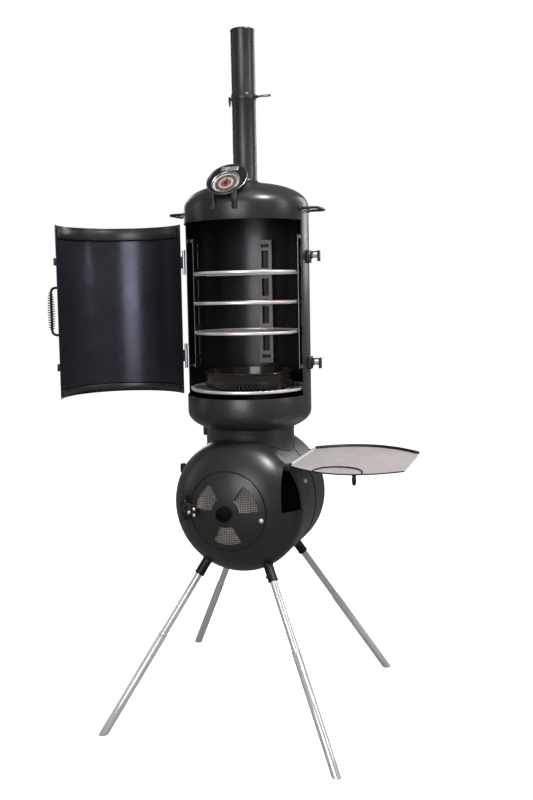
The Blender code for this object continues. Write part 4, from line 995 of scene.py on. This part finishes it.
def build_cabinet_door():
    outer = DOOR_IN_R + DOOR_SHEET
    azimuths = [DOOR_LEFT + (DOOR_RIGHT - DOOR_LEFT) * k / 80 for k in range(81)]
    heights = [DOOR_HIGH + (DOOR_LOW - DOOR_HIGH) * i / 24 for i in range(25)]
    rows = [[polar(outer, a, z) for a in azimuths] for z in heights]
    # The inner face takes the blue-tinted paint, a painted blue reflection; paint_outside gives the outer face the
    # drum's paint.
    skin = piece("door_skin", grid(rows), "cabinet_door", DOOR_BLUE_REFLECTION_PAINT, "door_panel", solid=DOOR_SHEET,
                 bevel=0.0006)
    paint_outside(skin)
    for tag, low, high in (("top", OPEN_HIGH - 0.029, OPEN_HIGH - 0.003),
                           ("bottom", OPEN_LOW + 0.003, OPEN_LOW + 0.019)):
        strip = band(BAND_R, DOOR_IN_R - 0.0002, *BAND_AZ, low, high, 72)
        piece(f"door_stiffener_{tag}", strip, "cabinet_door", PAINT, bevel=0.0008)
    # Painted shadow: thin strips of the near-black moulded finish, just inside the top and bottom stiffeners,
    # stand in for the shade under their lips.
    for tag, low, high in (("top", OPEN_HIGH - 0.0322, OPEN_HIGH - 0.0290),
                           ("bottom", OPEN_LOW + 0.0190, OPEN_LOW + 0.0215)):
        lip_shadow_strip = band(0.1684, DOOR_IN_R - 0.0002, *BAND_AZ, low, high, 72)
        piece(f"door_lip_shadow_{tag}", lip_shadow_strip, "cabinet_door", KNOB)
    catches = []
    for z in LATCHES.values():
        turn = Matrix.Rotation(CATCH_AZ, 4, "Z")
        tab = block((0.0180, 0.0050, 0.0200), 0.0014, turn @ shift(0, -outer - 0.0020, z))
        catches.append(tab)
    piece("door_catches", joined(*catches), "cabinet_door", TRIM)
    for tag, (low, high) in HINGE_SPANS.items():
        build_door_hinge(tag, low, high, outer)
    away = polar(HANDLE_OUT, HANDLE_AZ)
    ends = [polar(outer + 0.0006, HANDLE_AZ, z) for z in (HANDLE_LOW, HANDLE_HIGH)]
    bow = rounded_path([ends[0], ends[0] + away, ends[1] + away, ends[1]], 0.016)
    rod = wires([bow], 0.0035, 16)
    feet = [screw(end - polar(0.0002, HANDLE_AZ), polar(1, HANDLE_AZ), 0.0070, 0.0022) for end in ends]
    piece("door_grab_rod", joined(rod, *feet), "cabinet_door", TRIM, "door_handle_rod")
    middle = polar(outer + 0.0012 + HANDLE_OUT, HANDLE_AZ)
    low, high, turns, per_turn = HANDLE_LOW + 0.015, HANDLE_HIGH - 0.015, 15, 24
    coil = []
    for k in range(turns * per_turn + 1):
        share = k / (turns * per_turn)
        swell = 0.0056 + 0.0040 * max(sin(pi * share), 0) ** 0.5
        a = tau * k / per_turn
        coil.append(middle + Vector((swell * cos(a), swell * sin(a), low + (high - low) * share)))
    piece("door_coil_grip", tube(bmesh.new(), coil, 0.00090, 8), "cabinet_door", TRIM, "door_handle_grip",
          sharp=80)


def paint_outside(skin):
    """Gives the door's outer face the same paint as the drum."""
    skin.data.materials.append(PAINT)
    closed = (Matrix.Translation(ORIGIN) @ DOOR_OPEN).inverted()
    for face in skin.data.polygons:
        centre, normal = closed @ face.center, closed.to_3x3() @ face.normal
        if centre.x * normal.x + centre.y * normal.y > 0:
            face.material_index = 1


def build_door_hinge(tag, low, high, outer):
    x, y = HINGE_POINT.x, HINGE_POINT.y
    quarter = (high - low) / 4
    centre = shift(x, y, 0)
    knuckles = [lathe([(0, a), (0.0042, a), (0.0045, a + 0.0003), (0.0045, b - 0.0003), (0.0042, b), (0, b)],
                      24, centre)
                for a, b in ((low, low + quarter), (high - quarter, high))]
    pin = round_rod(0.0021, high - low - 0.002, 0.0004, 16, shift(x, y, low + 0.001))
    leaf = block((0.030, 0.0036, high - low), 0.0010, Matrix.Rotation(LEAF_AZ, 4, "Z") @
                 shift(-0.0030, -DRUM_R - 0.0026, (low + high) / 2))
    heads = []
    for dz in (-0.022, 0.022):
        at = Matrix.Rotation(LEAF_AZ, 4, "Z") @ Vector((-0.010, -DRUM_R - 0.0042, (low + high) / 2 + dz))
        heads.append(screw(at, polar(1, LEAF_AZ), 0.0036, 0.0022))
    piece(f"hinge_{tag}_frame", joined(leaf, pin, *knuckles, *heads), "smoker", ZINC,
          f"door_hinge_{tag}_bracket")
    middle = plain_rod(0.0045, low + quarter + 0.0005, high - quarter - 0.0005, x, y)
    flap = block((0.031, 0.0024, high - low - 2 * quarter - 0.001), 0.0008, spin(-74.8, "Z") @
                 shift(0, -outer - 0.0019, (low + high) / 2))
    piece(f"hinge_{tag}_flap", joined(middle, flap), "cabinet_door", ZINC, f"door_hinge_{tag}_leaf")


def build_latches():
    for tag, z in LATCHES.items():
        base = block((0.0056, 0.030, 0.034), 0.0014, shift(0.1734, 0.011, z))
        post = round_rod(0.0030, 0.0100, 0.0005, 20, along((0.174, 0, z), (1, 0, z)))
        bolts = [screw((0.1760, 0.019, z + d), (1, 0, 0), 0.0030, 0.0018) for d in (-0.011, 0.011)]
        piece(f"latch_{tag}_plate", joined(base, post, *bolts), "smoker", TRIM, f"latch_{tag}_base")
        middle = (LATCH_X + LATCH_END) / 2
        eye = off(0, 0, (3.3, 0.4), (7, 0.4), (7.5, 0.9), (7.5, 4.9), (6.9, 5.5), (3.3, 5.5))
        knuckle = lathe(eye, 36, along((LATCH_X, 0, z), (1, 0, z)), True)
        web = block((0.0060, 0.0070, 0.0100), 0.0008, shift(LATCH_X + 0.0050, 0, z + 0.0085))
        bar = block((LATCH_END - LATCH_X - 0.002, 0.0070, 0.0032), 0.0008,
                    shift(middle + 0.001, 0, z + 0.0119))
        end = block((0.0065, 0.0130, 0.0285), 0.0018, shift(LATCH_END - 0.00325, 0, z + 0.00075), 3)
        piece(f"latch_{tag}_handle", joined(knuckle, web, bar, end), f"latch_{tag}", TRIM,
              f"latch_{tag}_lever")
        spool = off(0, 0, (0, 0), (4.3, 0), (4.8, 0.6), (4.8, 3), (4.1, 3.7), (4.1, 9.8), (4.8, 10.5), (4.8, 14.1),
                    (0, 14.1))
        roller = lathe(spool, 32, along((LATCH_X + 0.007, 0, z), (1, 0, z)))
        piece(f"latch_{tag}_roller", roller, f"latch_{tag}", ZINC)


def finish_cad_nodes():
    """The ladders and the hidden fire grate keep their CAD shapes and take a finish."""
    finishes = {"ladder_left": LADDER_STEEL, "ladder_right": LADDER_STEEL, "ladder_rear": LADDER_STEEL,
                "fire_grate": CAST}
    for name, mat in finishes.items():
        node = frame["nodes"][name]
        node.data.materials.clear()
        node.data.materials.append(mat)


# ---- floor, light and camera

def build_stage():
    bm = bmesh.new()
    bmesh.ops.create_grid(bm, x_segments=2, y_segments=2, size=9.0)
    mesh = bpy.data.meshes.new("floor")
    bm.to_mesh(mesh)
    bm.free()
    floor = bpy.data.objects.new("floor", mesh)
    floor.location.z = -0.0005
    bpy.context.scene.collection.objects.link(floor)
    floor.visible_glossy = False
    floor.visible_diffuse = False
    mat, nt, shader = tree("pale_floor")
    for key, value in (("Base Color", (0.86, 0.86, 0.86)), ("Roughness", 0.9), ("Specular IOR Level", 0.1),
                       ("Emission Color", (1, 1, 1)), ("Emission Strength", 0.90)):
        give(nt, shader.inputs[key], value)
    mesh.materials.append(mat)


def build_world():
    world = bpy.data.worlds.new("studio")
    bpy.context.scene.world = world
    world.use_nodes = True
    nt = world.node_tree
    nt.nodes.clear()
    out = nt.nodes.new("ShaderNodeOutputWorld")
    seen = add(nt, "Background", {"Color": (1, 1, 1)})
    light = add(nt, "Background", {"Color": (0.98, 0.99, 1), "Strength": 0.22})
    ray, mix = nt.nodes.new("ShaderNodeLightPath"), nt.nodes.new("ShaderNodeMixShader")
    nt.links.new(ray.outputs["Is Camera Ray"], mix.inputs["Fac"])
    nt.links.new(light.outputs[0], mix.inputs[1])
    nt.links.new(seen.outputs[0], mix.inputs[2])
    nt.links.new(mix.outputs[0], out.inputs["Surface"])


def softbox(name, at, look_at, size, power, colour=(1, 1, 1)):
    data = bpy.data.lights.new(name, "AREA")
    data.shape = "RECTANGLE"
    data.size, data.size_y = size
    data.energy = power
    data.color = colour
    lamp = bpy.data.objects.new(name, data)
    lamp.location = at
    lamp.rotation_euler = (Vector(look_at) - Vector(at)).to_track_quat("-Z", "Y").to_euler()
    bpy.context.scene.collection.objects.link(lamp)


def build_lights():
    softbox("key", (1.55, -0.90, 3.20), (0, 0, 1.1), (0.32, 0.60), 85)
    softbox("front", (0.22, -2.75, 1.45), (0, 0, 1.1), (1.3, 1.3), 33, (0.93, 0.94, 1))
    softbox("right", (2.4, -0.05, 1.9), (0, 0, 1.2), (0.30, 1.2), 10)
    softbox("left", (-2.2, -0.6, 1.5), (0, 0, 0.9), (0.5, 1.6), 3, (0.94, 0.96, 1))
    softbox("back_right", (1.3, 2.6, 2.0), (0, 0, 0.9), (0.7, 1.6), 20)
    softbox("back_left", (-1.9, 2.2, 1.7), (0, 0, 0.9), (0.6, 1.6), 16)
    softbox("top", (0.2, -0.4, 3.3), (0, 0, 1.0), (1.2, 1.2), 5)


FOCAL_PX, LONG_SIDE, WIDTH, HEIGHT = 844.6, 800, 533, 800
CAMERA_AT = Vector((0.803, -2.179, 1.148))
CAMERA_AZ, CAMERA_PITCH, CAMERA_ROLL = radians(20.225), radians(4.362), radians(-1.175)
CENTRE_PX = (248.98, 357.44)


def build_camera():
    data = bpy.data.cameras.new("camera")
    data.sensor_width = 36
    data.lens = FOCAL_PX * 36 / LONG_SIDE
    data.shift_x = (WIDTH / 2 - CENTRE_PX[0]) / LONG_SIDE
    data.shift_y = (CENTRE_PX[1] - HEIGHT / 2) / LONG_SIDE
    camera = bpy.data.objects.new("camera", data)
    turn = (Matrix.Rotation(CAMERA_AZ, 4, "Z") @ Matrix.Rotation(pi / 2 - CAMERA_PITCH, 4, "X") @
            Matrix.Rotation(CAMERA_ROLL, 4, "Z"))
    camera.matrix_world = Matrix.Translation(CAMERA_AT + ORIGIN) @ turn
    bpy.context.scene.collection.objects.link(camera)
    bpy.context.scene.camera = camera


bpy.context.scene.view_settings.view_transform = "Standard"
build_camera()
build_world()
build_lights()
build_stage()
build_barrel()
build_carry_lug()
build_legs()
build_front_door()
build_shelf()
build_drum()
build_inside()
build_flue()
build_damper()
build_thermometer()
build_cabinet_door()
build_latches()
finish_cad_nodes()
